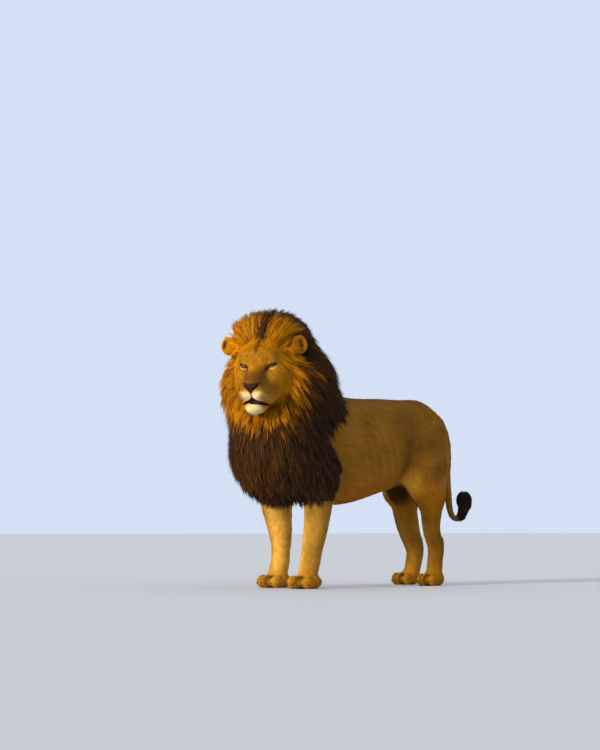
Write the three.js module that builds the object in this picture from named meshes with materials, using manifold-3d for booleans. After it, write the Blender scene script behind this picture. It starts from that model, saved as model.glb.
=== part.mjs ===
// A male lion standing with its head turned to its left, at life size, as a still model.
//
// Millimetres. +X is the lion's left, +Y points to its tail, +Z is up, and the paws stand at z = 0.
// The animal is one smooth field, the distance to the surface of its coat. Each piece is that field
// turned into a faceted solid over the piece's own region, and thin flat cuts part the regions.

import * as THREE from "three";
import { mergeVertices } from "three/addons/utils/BufferGeometryUtils.js";
import Module from "manifold-3d";

const wasm = await Module();
wasm.setup();

// ---------------------------------------------------------------- driving dimensions

const GAP = 0.6; // between two pieces that meet at a cut
const MANE_GAP = { edge: 10, deep: 20 }; // between the mane and the flesh under it
const SOCKET_GAP = 0.5; // between an eyeball and its socket

const BACK_HEIGHT = 1022; // the back, over the loin
const BELLY_HEIGHT = 438; // the lowest point of the belly
const CHEST_HALF_WIDTH = 205;
const RUMP_REAR = 612; // the buttocks, behind the origin
const STANCE = 130; // each paw's distance from the middle plane
const FORE_PAW_Y = -492;
const HIND_PAW_Y = 398;
const RIGHT_HIND_BACK = 44; // how far the right hind foot stands behind the left one
const ELBOW_HEIGHT = 560;
const KNEE_HEIGHT = 530;
const HOCK_HEIGHT = 252;
const WRIST_HEIGHT = 165;

// each toe from the inner to the outer: across and ahead of the paw's middle, as a part of the paw's
// width and length, and its size
const TOES = [[-0.33, 0.12, 0.94], [-0.13, 0.3, 1], [0.13, 0.3, 1], [0.33, 0.1, 0.94]];
const FORE_PAW = { length: 206, width: 156 };
const HIND_PAW = { length: 178, width: 124 };

const EYES_AT = [146, -815, 1160]; // the point midway between the two eyes
const HEAD_YAW = 37; // degrees, to the lion's left
const HEAD_PITCH = 11; // degrees, nose down
const EYE_SPACING = 150;
const EYE_RADIUS = 19;

const TAWNY = 0x8a5a20;
const PALE = 0xb07a30;
const GOLD = 0xc07818;
const UMBER = 0x2a1a14;

// ---------------------------------------------------------------- fields
// A field is a function of x, y, z that is negative inside a shape and positive outside it.

// a ball stretched to three radii, tilted by an angle in degrees about the X axis
function egg([cx, cy, cz], [rx, ry, rz], tilt = 0) {
  const c = Math.cos(THREE.MathUtils.degToRad(tilt));
  const s = Math.sin(THREE.MathUtils.degToRad(tilt));
  return (x, y, z) => {
    const px = (x - cx) / rx;
    const py = ((y - cy) * c + (z - cz) * s) / ry;
    const pz = ((z - cz) * c - (y - cy) * s) / rz;
    const near = Math.hypot(px, py, pz);
    const slope = Math.hypot(px / rx, py / ry, pz / rz);
    return slope < 1e-9 ? -Math.min(rx, ry, rz) : (near * (near - 1)) / slope;
  };
}

// a limb with round ends that tapers from one radius to the other
function limb([ax, ay, az], [bx, by, bz], ra, rb) {
  const [dx, dy, dz] = [bx - ax, by - ay, bz - az];
  const length2 = dx * dx + dy * dy + dz * dz;
  return (x, y, z) => {
    const along = ((x - ax) * dx + (y - ay) * dy + (z - az) * dz) / length2;
    const t = Math.min(1, Math.max(0, along));
    return Math.hypot(x - ax - t * dx, y - ay - t * dy, z - az - t * dz) - (ra + t * (rb - ra));
  };
}

// several shapes joined with fillets of the given size
function blend(fillet, ...fields) {
  return (x, y, z) => {
    let d = fields[0](x, y, z);
    for (let i = 1; i < fields.length; i += 1) {
      const e = fields[i](x, y, z);
      const h = Math.max(fillet - Math.abs(d - e), 0) / fillet;
      d = Math.min(d, e) - (h * h * fillet) / 4;
    }
    return d;
  };
}

// a shape with others hollowed out of it, with rounded rims
function carve(fillet, field, ...hollows) {
  return (x, y, z) => {
    let d = field(x, y, z);
    for (const hollow of hollows) {
      const e = -hollow(x, y, z);
      const h = Math.max(fillet - Math.abs(d - e), 0) / fillet;
      d = Math.max(d, e) + (h * h * fillet) / 4;
    }
    return d;
  };
}

const grown = (field, by) => (x, y, z) => field(x, y, z) - by;

function matrixOf(object) {
  object.updateMatrixWorld(true);
  return object.matrixWorld.clone();
}

// a field read at its point times a matrix
function through({ elements: m }, field) {
  return (x, y, z) =>
    field(
      m[0] * x + m[4] * y + m[8] * z + m[12],
      m[1] * x + m[5] * y + m[9] * z + m[13],
      m[2] * x + m[6] * y + m[10] * z + m[14],
    );
}

// a field given in an object's own frame, as a field of the world, and the other way round
const placed = (object, field) => through(matrixOf(object).invert(), field);
const seenFrom = (object, field) => through(matrixOf(object), field);

// ---------------------------------------------------------------- from a field to a solid

// grid lines from low to high: fine steps inside the focus, which grow to coarse ones outside it
function lines(low, high, step, focus = [low, high], coarse = step) {
  const growth = 0.35;
  const list = [low];
  while (list.at(-1) < high) {
    const at = list.at(-1);
    const away = Math.max(focus[0] - at, at - focus[1], 0);
    list.push(at + Math.min(coarse, step + away * growth));
  }
  return list;
}

// an even grid over a box, with its rim well outside the box, where closing the mesh does no harm
const RIM_MARGIN = 1.3; // in steps
const evenGrid = (ranges, steps) =>
  ranges.map(([low, high], n) => {
    const margin = RIM_MARGIN * steps[n];
    return lines(low - margin, high + margin, steps[n]);
  });

// A grid cell's corners are numbered by their bits, x in the lowest. Each edge is a pair of corners,
// and each face is the list of its corners and of its edges.
const CORNERS = [0, 1, 2, 3, 4, 5, 6, 7];
const AXIS_BITS = [1, 2, 4];
const CELL_EDGES = AXIS_BITS.flatMap((bit) =>
  CORNERS.filter((corner) => !(corner & bit)).map((corner) => [corner, corner | bit]),
);
const CELL_FACES = AXIS_BITS.flatMap((bit) =>
  [0, bit].map((side) => {
    const corners = CORNERS.filter((corner) => (corner & bit) === side);
    const edges = [...CELL_EDGES.keys()].filter((e) => CELL_EDGES[e].every((c) => corners.includes(c)));
    return { corners, edges };
  }),
);
const EDGES = CELL_EDGES.length;

// the crossed edges of a cell, in one list for each sheet of the surface that passes through it
function sheetsIn(inside) {
  const crossed = CELL_EDGES.map(([a, b]) => inside[a] !== inside[b]);
  const sheet = [...CELL_EDGES.keys()];
  const join = (e, f) => {
    const [from, to] = [sheet[e], sheet[f]];
    sheet.forEach((s, n) => {
      if (s === from) sheet[n] = to;
    });
  };
  for (const { corners, edges } of CELL_FACES) {
    const cuts = edges.filter((e) => crossed[e]);
    if (cuts.length === 2) join(...cuts);
    if (cuts.length < 4) continue;
    for (const corner of corners.filter((c) => inside[c])) {
      join(...edges.filter((e) => CELL_EDGES[e].includes(corner)));
    }
  }
  return [...new Set(sheet)]
    .map((one) => [...sheet.keys()].filter((e) => sheet[e] === one && crossed[e]))
    .filter((members) => members.length > 0);
}

// a point moved onto the field's zero surface, by no more than the reach
function drawn(field, [x, y, z], reach) {
  const e = 1;
  const slope = [
    (field(x + e, y, z) - field(x - e, y, z)) / (2 * e),
    (field(x, y + e, z) - field(x, y - e, z)) / (2 * e),
    (field(x, y, z + e) - field(x, y, z - e)) / (2 * e),
  ];
  const steep = Math.max(0.1, Math.hypot(...slope));
  const move = Math.max(-reach, Math.min(reach, -field(x, y, z) / steep));
  return [x, y, z].map((v, n) => v + (move * slope[n]) / steep);
}

const RIM = 1; // the field's value all round the grid's rim, which closes the mesh there

// a field's values on a grid
function sampled(field, axes) {
  const [nx, ny, nz] = axes.map((list) => list.length);
  const step = [1, nx, nx * ny];
  const at = (i, j, k) => i * step[0] + j * step[1] + k * step[2];
  const value = new Float64Array(nx * ny * nz);
  for (let k = 0; k < nz; k += 1) {
    for (let j = 0; j < ny; j += 1) {
      for (let i = 0; i < nx; i += 1) {
        const rim = i === 0 || j === 0 || k === 0 || i === nx - 1 || j === ny - 1 || k === nz - 1;
        value[at(i, j, k)] = rim ? RIM : field(axes[0][i], axes[1][j], axes[2][k]);
      }
    }
  }
  const cells = [];
  for (let k = 0; k < nz - 1; k += 1) {
    for (let j = 0; j < ny - 1; j += 1) {
      for (let i = 0; i < nx - 1; i += 1) cells.push([i, j, k]);
    }
  }
  return { value, step, at, cells };
}

// The field's zero surface as a closed mesh: one vertex for each sheet of the surface in each grid
// cell, at the mean of its crossings on the cell's edges, and one quad round each crossed grid edge.
function skinOf(field, ...axes) {
  const { value, step, at, cells } = sampled(field, axes);
  const offsets = CORNERS.map((c) => AXIS_BITS.reduce((sum, bit, n) => sum + (c & bit ? step[n] : 0), 0));
  const vertexOf = new Int32Array(value.length * EDGES);
  const points = [];
  for (const [i, j, k] of cells) {
    const cell = at(i, j, k);
    const inside = offsets.map((o) => value[cell + o] < 0);
    if (inside.every((v) => v === inside[0])) continue;
    const place = (c) => [i, j, k].map((index, n) => axes[n][index + (c & AXIS_BITS[n] ? 1 : 0)]);
    for (const members of sheetsIn(inside)) {
      const sum = new THREE.Vector3();
      for (const e of members) {
        const [a, b] = CELL_EDGES[e];
        const [va, vb] = [value[cell + offsets[a]], value[cell + offsets[b]]];
        const crossing = new THREE.Vector3(...place(a)).lerp(new THREE.Vector3(...place(b)), va / (va - vb));
        sum.add(crossing);
        vertexOf[cell * EDGES + e] = points.length / 3;
      }
      const mean = sum.divideScalar(members.length).toArray();
      const onRim = members.some((e) => CELL_EDGES[e].some((c) => value[cell + offsets[c]] === RIM));
      const reach = (axes[0][i + 1] - axes[0][i]) / 4;
      points.push(...(onRim ? mean : drawn(field, mean, reach)));
    }
  }
  const triangles = [];
  for (const [i, j, k] of cells) {
    const cell = at(i, j, k);
    const here = value[cell] < 0;
    for (const [n, u, v] of [[0, 1, 2], [1, 2, 0], [2, 0, 1]]) {
      if (here === value[cell + step[n]] < 0) continue;
      const quad = [[1, 1], [0, 1], [0, 0], [1, 0]].map(([a, b]) => {
        const corner = (a << u) | (b << v);
        const edge = CELL_EDGES.findIndex(([from, to]) => from === corner && to === (corner | (1 << n)));
        return vertexOf[(cell - a * step[u] - b * step[v]) * EDGES + edge];
      });
      if (!here) quad.reverse();
      triangles.push(quad[0], quad[1], quad[2], quad[0], quad[2], quad[3]);
    }
  }
  return geometryFrom(points, triangles);
}

function geometryFrom(points, triangles) {
  const geometry = new THREE.BufferGeometry();
  geometry.setAttribute("position", new THREE.Float32BufferAttribute(points, 3));
  geometry.setIndex(triangles);
  return geometry;
}

// a three.js geometry, placed by an object's matrix, as a manifold solid
function solid(geometry, object) {
  const bare = geometry.clone();
  bare.deleteAttribute("normal");
  bare.deleteAttribute("uv");
  const merged = mergeVertices(bare, 1e-4);
  if (object) merged.applyMatrix4(matrixOf(object));
  return new wasm.Manifold(
    new wasm.Mesh({
      numProp: 3,
      vertProperties: new Float32Array(merged.getAttribute("position").array),
      triVerts: new Uint32Array(merged.index.array),
    }),
  );
}

function geometryOf(piece) {
  const mesh = piece.getMesh();
  return geometryFrom(mesh.vertProperties, [...mesh.triVerts]);
}

// a box from its lowest to its highest corner, in the world or in an object's frame
function box([x0, y0, z0], [x1, y1, z1], object) {
  const geometry = new THREE.BoxGeometry(x1 - x0, y1 - y0, z1 - z0);
  geometry.translate((x0 + x1) / 2, (y0 + y1) / 2, (z0 + z1) / 2);
  return solid(geometry, object);
}

// ---------------------------------------------------------------- frames

// The head's frame: +X to the lion's left, -Y out of its face, +Z to its crown, from between the eyes.
const headFrame = new THREE.Group();
headFrame.position.set(...EYES_AT);
headFrame.rotation.set(
  THREE.MathUtils.degToRad(HEAD_PITCH),
  0,
  THREE.MathUtils.degToRad(HEAD_YAW),
  "ZYX",
);

// ---------------------------------------------------------------- the animal's shape

const chestMiddle = (BACK_HEIGHT + BELLY_HEIGHT) / 2;
const chestDepth = (BACK_HEIGHT - BELLY_HEIGHT) / 2;

const trunk = blend(
  70,
  egg([0, -190, chestMiddle + 2], [CHEST_HALF_WIDTH, 400, chestDepth], 2),
  egg([0, 110, 766], [188, 320, 250], 11),
  egg([0, RUMP_REAR - 250, 792], [172, 246, 230]),
  egg([0, -420, 690], [165, 180, 190]),
  limb([0, -300, 905], [0, 380, 930], 92, 88),
);

function shoulder(side) {
  return blend(
    60,
    egg([side * 118, -330, 800], [82, 150, 225], -22),
    limb([side * 138, -455, 700], [side * 138, -395, ELBOW_HEIGHT], 98, 84),
  );
}

// a limb through stations, each its place and the radius there
const leg = (stations) =>
  blend(
    3,
    ...stations.slice(1).map((to, n) => limb(stations[n].slice(0, 3), to.slice(0, 3), stations[n][3], to[3])),
  );

const FORELEGS = {
  left: [
    [140, -402, 560, 86], [139, -408, 470, 82], [138, -412, 416, 77], [136, -417, 362, 72],
    [134, -425, 309, 68], [132, -435, 256, 64], [131, -447, 203, 60], [130, -456, 150, 57],
    [130, -468, 100, 54], [130, -482, 58, 50],
  ],
  right: [
    [-156, -452, 560, 90], [-153, -462, 480, 92], [-150, -464, 440, 88], [-146, -455, 363, 76],
    [-142, -449, 309, 69], [-138, -445, 255, 61], [-134, -449, 203, 55], [-130, -454, 150, 53],
    [-130, -466, 100, 53], [-130, -482, 58, 50],
  ],
};

function paw(side, y, { length, width }) {
  const toes = [];
  for (const [across, ahead, size] of TOES) {
    const toe = [side * STANCE + side * across * width, y - ahead * length, 34 * size];
    toes.push(egg(toe, [width * 0.17 * size, length * 0.21 * size, 38 * size]));
  }
  return blend(
    10,
    egg([side * STANCE, y + length * 0.1, 36], [width * 0.45, length * 0.38, 46]),
    ...toes,
  );
}

// the right hind leg stands a little further back than the left one
const hindShift = (side) => (side < 0 ? RIGHT_HIND_BACK : 0);

function thigh(side) {
  const back = hindShift(side);
  return blend(
    50,
    egg([side * 108, 358 + back / 2, 730], [90, 192, 240], -8),
    limb([side * 116, 366, 640], [side * 126, 346 + back / 2, KNEE_HEIGHT], 112, 82),
    limb([side * 110, 440, 660], [side * 120, 420 + back, 500], 92, 64),
  );
}

const HIND_LEGS = {
  left: [
    [122, 388, 520, 84], [122, 404, 465, 75], [121, 411, 409, 64], [120, 410, 365, 58],
    [119, 418, 298, 52], [118, 434, 253, 50], [117, 446, 222, 50], [117, 448, 186, 48],
    [118, 442, 150, 46], [119, 436, 100, 46], [120, 428, 56, 46],
  ],
  right: [
    [-122, 408, 510, 84], [-122, 425, 450, 77], [-121, 436, 390, 72], [-120, 447, 345, 69],
    [-119, 460, 300, 64], [-118, 481, 250, 59], [-117, 496, 215, 56], [-117, 500, 180, 52],
    [-118, 494, 140, 49], [-119, 485, 100, 47], [-120, 474, 56, 46],
  ],
};
const HEELS = { left: [117, 478, HOCK_HEIGHT - 10], right: [-116, 524, HOCK_HEIGHT - 10] };
const hindLeg = (name) => blend(18, leg(HIND_LEGS[name]), egg(HEELS[name], [24, 25, 38]));

const tailPath = new THREE.CatmullRomCurve3(
  [
    [0, 560, 905],
    [0, 608, 850],
    [0, 632, 752],
    [0, 632, 640],
    [0, 644, 530],
    [0, 661, 430],
    [0, 677, 390],
    [0, 706, 371],
    [0, 738, 374],
    [0, 760, 396],
    [0, 770, 430],
    [0, 774, 470],
    [0, 774, 516],
  ].map((p) => new THREE.Vector3(...p)),
  false,
  "centripetal",
);
const tailRadius = (t) => 40 - 24 * Math.min(1, t * 1.25);

const neckBase = [0, -420, 860];
const neckTop = [88, -700, 1125];
const neck = limb(neckBase, neckTop, 185, 128);

// in the head's frame
const headShape = (() => {
  const sides = (make) => [make(1), make(-1)];
  const skull = blend(
    40,
    egg([0, 135, 22], [122, 165, 112]),
    egg([0, 82, -34], [140, 110, 104]),
    egg([0, 40, 52], [88, 78, 46], -18),
    limb([0, 10, 4], [0, -118, -84], 50, 41),
    ...sides((s) => limb([s * 62, 8, 30], [s * 30, -10, 26], 24, 20)),
    ...sides((s) => egg([s * 66, 8, -78], [58, 70, 62])),
  );
  const muzzle = blend(
    26,
    limb([0, -60, -82], [0, -130, -100], 60, 42),
    ...sides((s) => egg([s * 37, -108, -124], [43, 60, 46])),
    egg([0, -60, -120], [78, 80, 52]),
  );
  const jaw = blend(
    30,
    egg([0, -96, -200], [54, 50, 40]),
    ...sides((s) => limb([s * 84, 80, -110], [s * 32, -70, -184], 56, 40)),
  );
  return carve(
    18,
    blend(22, blend(30, skull, muzzle), jaw),
    ...sides((s) => egg([s * (EYE_SPACING / 2 + 2), -26, -4], [26, 20, 15])),
  );
})();

const EAR_AT = [188, 132, 92];
function ear(side) {
  const [ex, ey, ez] = EAR_AT;
  return blend(
    16,
    carve(
      10,
      egg([side * ex, ey, ez], [52, 36, 55]),
      egg([side * (ex + 2), ey - 44, ez + 4], [36, 42, 38]),
    ),
    limb([side * 92, ey + 6, ez - 30], [side * (ex - 34), ey + 6, ez - 20], 46, 36),
  );
}

const head = placed(headFrame, blend(10, headShape, ear(1), ear(-1)));

const tailStub = (() => {
  const root = tailPath.getPointAt(0);
  const out = tailPath.getPointAt(0.12);
  return limb(root.toArray(), out.toArray(), tailRadius(0) + 4, tailRadius(0.12));
})();

const flesh = blend(
  46,
  blend(
    60,
    trunk,
    blend(40, neck, head),
    shoulder(1),
    shoulder(-1),
    thigh(1),
    thigh(-1),
    tailStub,
  ),
  leg(FORELEGS.left),
  leg(FORELEGS.right),
  hindLeg("left"),
  hindLeg("right"),
);

const body = blend(
  24,
  flesh,
  paw(1, FORE_PAW_Y, FORE_PAW),
  paw(-1, FORE_PAW_Y, FORE_PAW),
  paw(1, HIND_PAW_Y, HIND_PAW),
  paw(-1, HIND_PAW_Y + RIGHT_HIND_BACK, HIND_PAW),
);

// the mane's outer surface, at the tips of its hair, open round the face and in front of the ears
const headMane = blend(
  70,
  egg([0, 205, 25], [215, 185, 236], -10),
  egg([-4, 158, 104], [188, 122, 160]),
  egg([-14, 165, -130], [246, 160, 190]),
  egg([42, 310, 58], [180, 178, 194], -10),
);
const mane = carve(
  45,
  blend(
    90,
    placed(headFrame, headMane),
    limb([30, -505, 1060], [0, -335, 888], 254, 194),
    egg([-10, -640, 960], [238, 190, 190]),
    egg([0, -580, 750], [258, 256, 312]),
    egg([-8, -505, 655], [252, 186, 182]),
    limb([152, -410, 640], [141, -412, 502], 114, 92),
    limb([-158, -455, 640], [-150, -462, 505], 112, 92),
  ),
  placed(headFrame, egg([0, -50, -52], [172, 152, 178])),
  placed(headFrame, egg([204, 52, 92], [86, 92, 72])),
  placed(headFrame, egg([-204, 52, 92], [86, 92, 72])),
);

// ---------------------------------------------------------------- regions
// Each piece's region is a box in some frame. A cut leaves half the gap on either side of its plane.

const world = new THREE.Group();
const half = GAP / 2;

// a box pulled in by half the gap on every side
const region = (low, high, frame = world) =>
  box(low.map((v) => v + half), high.map((v) => v - half), frame);
// the same box let out by half the gap, to cut its neighbours
const room = (low, high, frame = world) =>
  box(low.map((v) => v - half), high.map((v) => v + half), frame);

const neckFrame = new THREE.Group();
neckFrame.position.set(22, -490, 926);
neckFrame.quaternion.setFromUnitVectors(
  new THREE.Vector3(0, 0, 1),
  new THREE.Vector3(...neckTop).sub(new THREE.Vector3(...neckBase)).normalize(),
);

const flankFrame = new THREE.Group();
flankFrame.position.set(0, 175, 800);
flankFrame.rotation.x = THREE.MathUtils.degToRad(-9);

const jawFrame = new THREE.Group();
jawFrame.position.set(0, -40, -188);
jawFrame.rotation.x = THREE.MathUtils.degToRad(-9);
headFrame.add(jawFrame);

const HEAD_BOX = [[-330, -260, -330], [330, 190, 260]];
const NECK_BOX = [[-320, -320, 0], [320, 320, 460]];
const JAW_BOX = [[-110, -200, -140], [110, 0, 0]];
const earBox = (side) => [
  [side > 0 ? 116 : -300, 20, 20],
  [side > 0 ? 300 : -116, 190, 200],
];
const SHOULDER_FOOT = 500; // where the shoulder ends and the foreleg starts
const THIGH_FOOT = 500;
const HOCK_TOP = HOCK_HEIGHT + 40;
const limbBox = (side, inner, y0, y1, z0, z1) => [
  [side > 0 ? inner : -420, y0, z0],
  [side > 0 ? 420 : -inner, y1, z1],
];
const shoulderBox = (side) => limbBox(side, 98, -640, -215, SHOULDER_FOOT, 960);
const forelegBox = (side, z0, z1) => limbBox(side, 52, -720, -215, z0, z1);
const thighBox = (side) => limbBox(side, 40, 0, 620, -310, 60);
const shankBox = (side, z0, z1) => limbBox(side, 20, 150, 760, z0, z1);

// ---------------------------------------------------------------- pieces

const lion = new THREE.Group();

function add(name, piece, color, roughness = 0.9) {
  const material = new THREE.MeshStandardMaterial({ color, roughness, metalness: 0 });
  const mesh = new THREE.Mesh(geometryOf(piece), material);
  mesh.name = name;
  lion.add(mesh);
}

// the longest grid steps that still hold each piece's shape
const FACE_STEPS = [23.5, 23, 23];
const BACK_OF_HEAD_STEPS = [66, 72, 62];
const EAR_STEP = 25;
const NECK_STEP = 84;
const TRUNK_STEPS = [78, 118, 73];
const MANE_STEP = 87;

// the largest of a solid's separate bodies
const main = (piece) =>
  piece.decompose().reduce((best, one) => (one.volume() > best.volume() ? one : best));

const cut = (piece, ...cutters) => cutters.reduce((rest, cutter) => rest.subtract(cutter), piece);

const SIDES = [["left", 1], ["right", -1]];

// head, jaw, ears, nose and eyes, in the head's frame
const headFlesh = blend(10, blend(40, seenFrom(headFrame, neck), headShape), ear(1), ear(-1));
const headSpace = [[-230, 230], [-240, 230], [-290, 200]];
const faceSpace = [[-75, 75], [-180, -10], [-225, 20]];
const headGrid = headSpace.map(([low, high], n) =>
  lines(low, high, FACE_STEPS[n], faceSpace[n], BACK_OF_HEAD_STEPS[n]),
);
const earGrid = (side, step) => [
  side > 0 ? lines(96, 250, step) : lines(-250, -96, step),
  lines(66, 200, step),
  lines(-10, 175, step),
];
const NOSE_BOX = [[-50, -230, -122], [50, -148, -66]];
const eyeAt = (side) => [side * (EYE_SPACING / 2), EYE_RADIUS - 13, -3];

function eyeball(side, radius) {
  const ball = new THREE.SphereGeometry(radius, 9, 6);
  ball.translate(...eyeAt(side));
  return solid(ball, headFrame);
}

const headSolid = solid(skinOf(headFlesh, ...headGrid), headFrame).intersect(region(...HEAD_BOX, headFrame));
add(
  "head",
  main(
    cut(
      headSolid,
      room(...earBox(1), headFrame),
      room(...earBox(-1), headFrame),
      room(...JAW_BOX, jawFrame),
      room(...NOSE_BOX, headFrame),
      eyeball(1, EYE_RADIUS + SOCKET_GAP),
      eyeball(-1, EYE_RADIUS + SOCKET_GAP),
    ),
  ),
  TAWNY,
);
const jawSolid = headSolid.intersect(region(JAW_BOX[0], [JAW_BOX[1][0], JAW_BOX[1][1], -3], jawFrame));
add("lower_jaw", main(jawSolid), PALE);
add("nose", main(headSolid.intersect(region(...NOSE_BOX, headFrame))), UMBER, 0.5);
const earSolids = [];
for (const [name, side] of SIDES) {
  add(`eye_${name}`, eyeball(side, EYE_RADIUS), GOLD, 0.15);
  const earSolid = solid(skinOf(headFlesh, ...earGrid(side, EAR_STEP)), headFrame);
  add(`ear_${name}`, main(earSolid.intersect(region(...earBox(side), headFrame))), GOLD);
  earSolids.push(solid(skinOf(grown(headFlesh, MANE_GAP.edge), ...earGrid(side, EAR_STEP + 6)), headFrame));
}

// neck
const neckGrid = evenGrid([[-230, 340], [-840, -230], [690, 1400]], [NECK_STEP, NECK_STEP, NECK_STEP]);
const neckSolid = solid(skinOf(body, ...neckGrid));
add(
  "neck",
  main(cut(neckSolid.intersect(region(...NECK_BOX, neckFrame)), room(...HEAD_BOX, headFrame))),
  TAWNY,
);

// trunk, in three lengths
const headRooms = [room(...HEAD_BOX, headFrame), room(...NECK_BOX, neckFrame)];
const trunkRooms = [...headRooms];
for (const [, side] of SIDES) {
  trunkRooms.push(room(...shoulderBox(side)));
  trunkRooms.push(room(...forelegBox(side, -50, SHOULDER_FOOT)));
  trunkRooms.push(room(...thighBox(side), flankFrame));
  trunkRooms.push(room(...shankBox(side, -50, THIGH_FOOT)));
}
const trunkGrid = evenGrid([[-240, 240], [-640, 660], [400, 1060]], TRUNK_STEPS);
const trunkSolid = solid(skinOf(body, ...trunkGrid));
const TRUNK_CUTS = [-760, -130, 190, 620];
["chest", "belly", "rump"].forEach((name, n) => {
  const length = region([-400, TRUNK_CUTS[n], 200], [400, TRUNK_CUTS[n + 1], 1300]);
  add(name, main(cut(trunkSolid.intersect(length), ...trunkRooms)), TAWNY);
});

// legs
const reach = (side, inner, outer) => (side > 0 ? [inner, outer] : [-outer, -inner]);
for (const [name, side] of SIDES) {
  const back = hindShift(side);
  const pieces = {
    shoulder: {
      space: region(...shoulderBox(side)),
      ranges: [reach(side, 90, 250), [-560, -215], [500, 960]],
      steps: [80, 82, 88],
    },
    foreleg: {
      space: region(...forelegBox(side, WRIST_HEIGHT, SHOULDER_FOOT)),
      ranges: [reach(side, 50, 240), [-560, -280], [WRIST_HEIGHT, SHOULDER_FOOT]],
      steps: [44, 47, 80],
    },
    forepaw: {
      space: region(...forelegBox(side, 0, WRIST_HEIGHT)),
      ranges: [reach(side, 40, 220), [-620, -360], [0, WRIST_HEIGHT]],
      steps: [35, 37, 34],
    },
    thigh: {
      space: cut(region(...thighBox(side), flankFrame), room(...shankBox(side, 0, THIGH_FOOT))),
      ranges: [reach(side, 30, 230), [120, 640], [THIGH_FOOT, 900]],
      steps: [66, 75, 66],
    },
    shank: {
      space: region(...shankBox(side, HOCK_TOP, THIGH_FOOT)),
      ranges: [reach(side, 40, 230), [200, 580 + back], [HOCK_TOP, THIGH_FOOT]],
      steps: [45, 52, 76],
    },
    hindfoot: {
      space: region(...shankBox(side, 0, HOCK_TOP)),
      ranges: [reach(side, 40, 220), [290, 540 + back], [0, HOCK_TOP]],
      steps: [35, 40, 46],
    },
  };
  for (const [kind, { space, ranges, steps }] of Object.entries(pieces)) {
    const piece = solid(skinOf(body, ...evenGrid(ranges, steps))).intersect(space);
    const color = kind === "forepaw" || kind === "hindfoot" ? PALE : TAWNY;
    add(`${kind}_${name}`, main(kind === "shoulder" ? cut(piece, ...headRooms) : piece), color);
  }
}

// tail, in three lengths and a tuft
const TAIL_CUTS = [0.12, 0.42, 0.66, 0.84];

// the closed surface swept by a circle of changing radius along a part of a curve
function sweep(curve, from, to, radiusAt, sides, rings) {
  const points = [];
  const triangles = [];
  const across = new THREE.Vector3(1, 0, 0);
  for (let n = 0; n <= rings; n += 1) {
    const t = from + ((to - from) * n) / rings;
    const middle = curve.getPointAt(t);
    const up = new THREE.Vector3().crossVectors(across, curve.getTangentAt(t)).normalize();
    for (let m = 0; m < sides; m += 1) {
      const angle = (m / sides) * 2 * Math.PI;
      const out = across.clone().multiplyScalar(Math.cos(angle)).addScaledVector(up, Math.sin(angle));
      points.push(...middle.clone().addScaledVector(out, radiusAt(t)).toArray());
    }
  }
  for (let n = 0; n < rings; n += 1) {
    for (let m = 0; m < sides; m += 1) {
      const [a, b] = [n * sides + m, n * sides + ((m + 1) % sides)];
      triangles.push(a, a + sides, b, b, a + sides, b + sides);
    }
  }
  const ends = [[curve.getPointAt(from), 0], [curve.getPointAt(to), rings * sides]];
  ends.forEach(([middle, first], end) => {
    const hub = points.length / 3;
    points.push(...middle.toArray());
    for (let m = 0; m < sides; m += 1) {
      const rim = [first + m, first + ((m + 1) % sides)];
      triangles.push(hub, ...(end === 0 ? rim : rim.reverse()));
    }
  });
  return solid(geometryFrom(points, triangles));
}

const tailGap = GAP / tailPath.getLength();
const rumpRoom = solid(skinOf(grown(body, 3), ...trunkGrid));
["base", "middle", "tip"].forEach((name, n) => {
  const length = sweep(tailPath, TAIL_CUTS[n] + tailGap, TAIL_CUTS[n + 1], tailRadius, 7, 6);
  add(`tail_${name}`, main(cut(length, rumpRoom)), TAWNY);
});
const tuftRadius = (t) => {
  const along = (t - TAIL_CUTS[3]) / (1 - TAIL_CUTS[3]);
  return 20 + 28 * Math.sin(Math.PI * Math.min(1, along * 0.85 + 0.08)) ** 0.8;
};
add("tail_tuft", sweep(tailPath, TAIL_CUTS[3] + tailGap, 1, tuftRadius, 9, 6), UMBER);

// mane, over the head, neck, chest and shoulders
const maneSpace = [[-300, 420], [-1000, 0], [380, 1480]];
const maneGrid = (step) => evenGrid(maneSpace, [step, step, step]);
// the mane's inner surface, which lies close to the flesh at the mane's edges
const lining = (x, y, z) => {
  const gap = MANE_GAP.edge - 0.6 * mane(x, y, z);
  return body(x, y, z) - Math.max(MANE_GAP.edge, Math.min(MANE_GAP.deep, gap));
};
const maneSolid = cut(
  solid(skinOf(mane, ...maneGrid(MANE_STEP))),
  solid(skinOf(lining, ...maneGrid(MANE_STEP - 4))),
  ...earSolids,
);
const MANE_CUTS = [200, 780, 1060, 1700];
["chest", "neck", "crown"].forEach((name, n) => {
  const space = region([-800, -1500, MANE_CUTS[n]], [800, 500, MANE_CUTS[n + 1]]);
  add(`mane_${name}`, main(maneSolid.intersect(space)), n === 2 ? GOLD : UMBER);
});

// The origin is on the floor, under the middle of the lion's own box.
const extent = new THREE.Box3().setFromObject(lion);
const middle = extent.getCenter(new THREE.Vector3());
lion.position.set(-middle.x, -middle.y, -extent.min.z);

export default lion;
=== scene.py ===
"""A male lion standing with its head turned to its left: skin, short coat, mane, eyes and stage.

The animal is one smooth field, the distance to the surface of its coat, in millimetres in the frame it is
modelled in: +X to the lion's left, +Y to its tail, +Z up. to_row() moves points to the row frame, in metres.
The skin is that field's surface drawn in by the depth of the coat, and every lock of hair grows from it.
"""

import math

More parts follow.
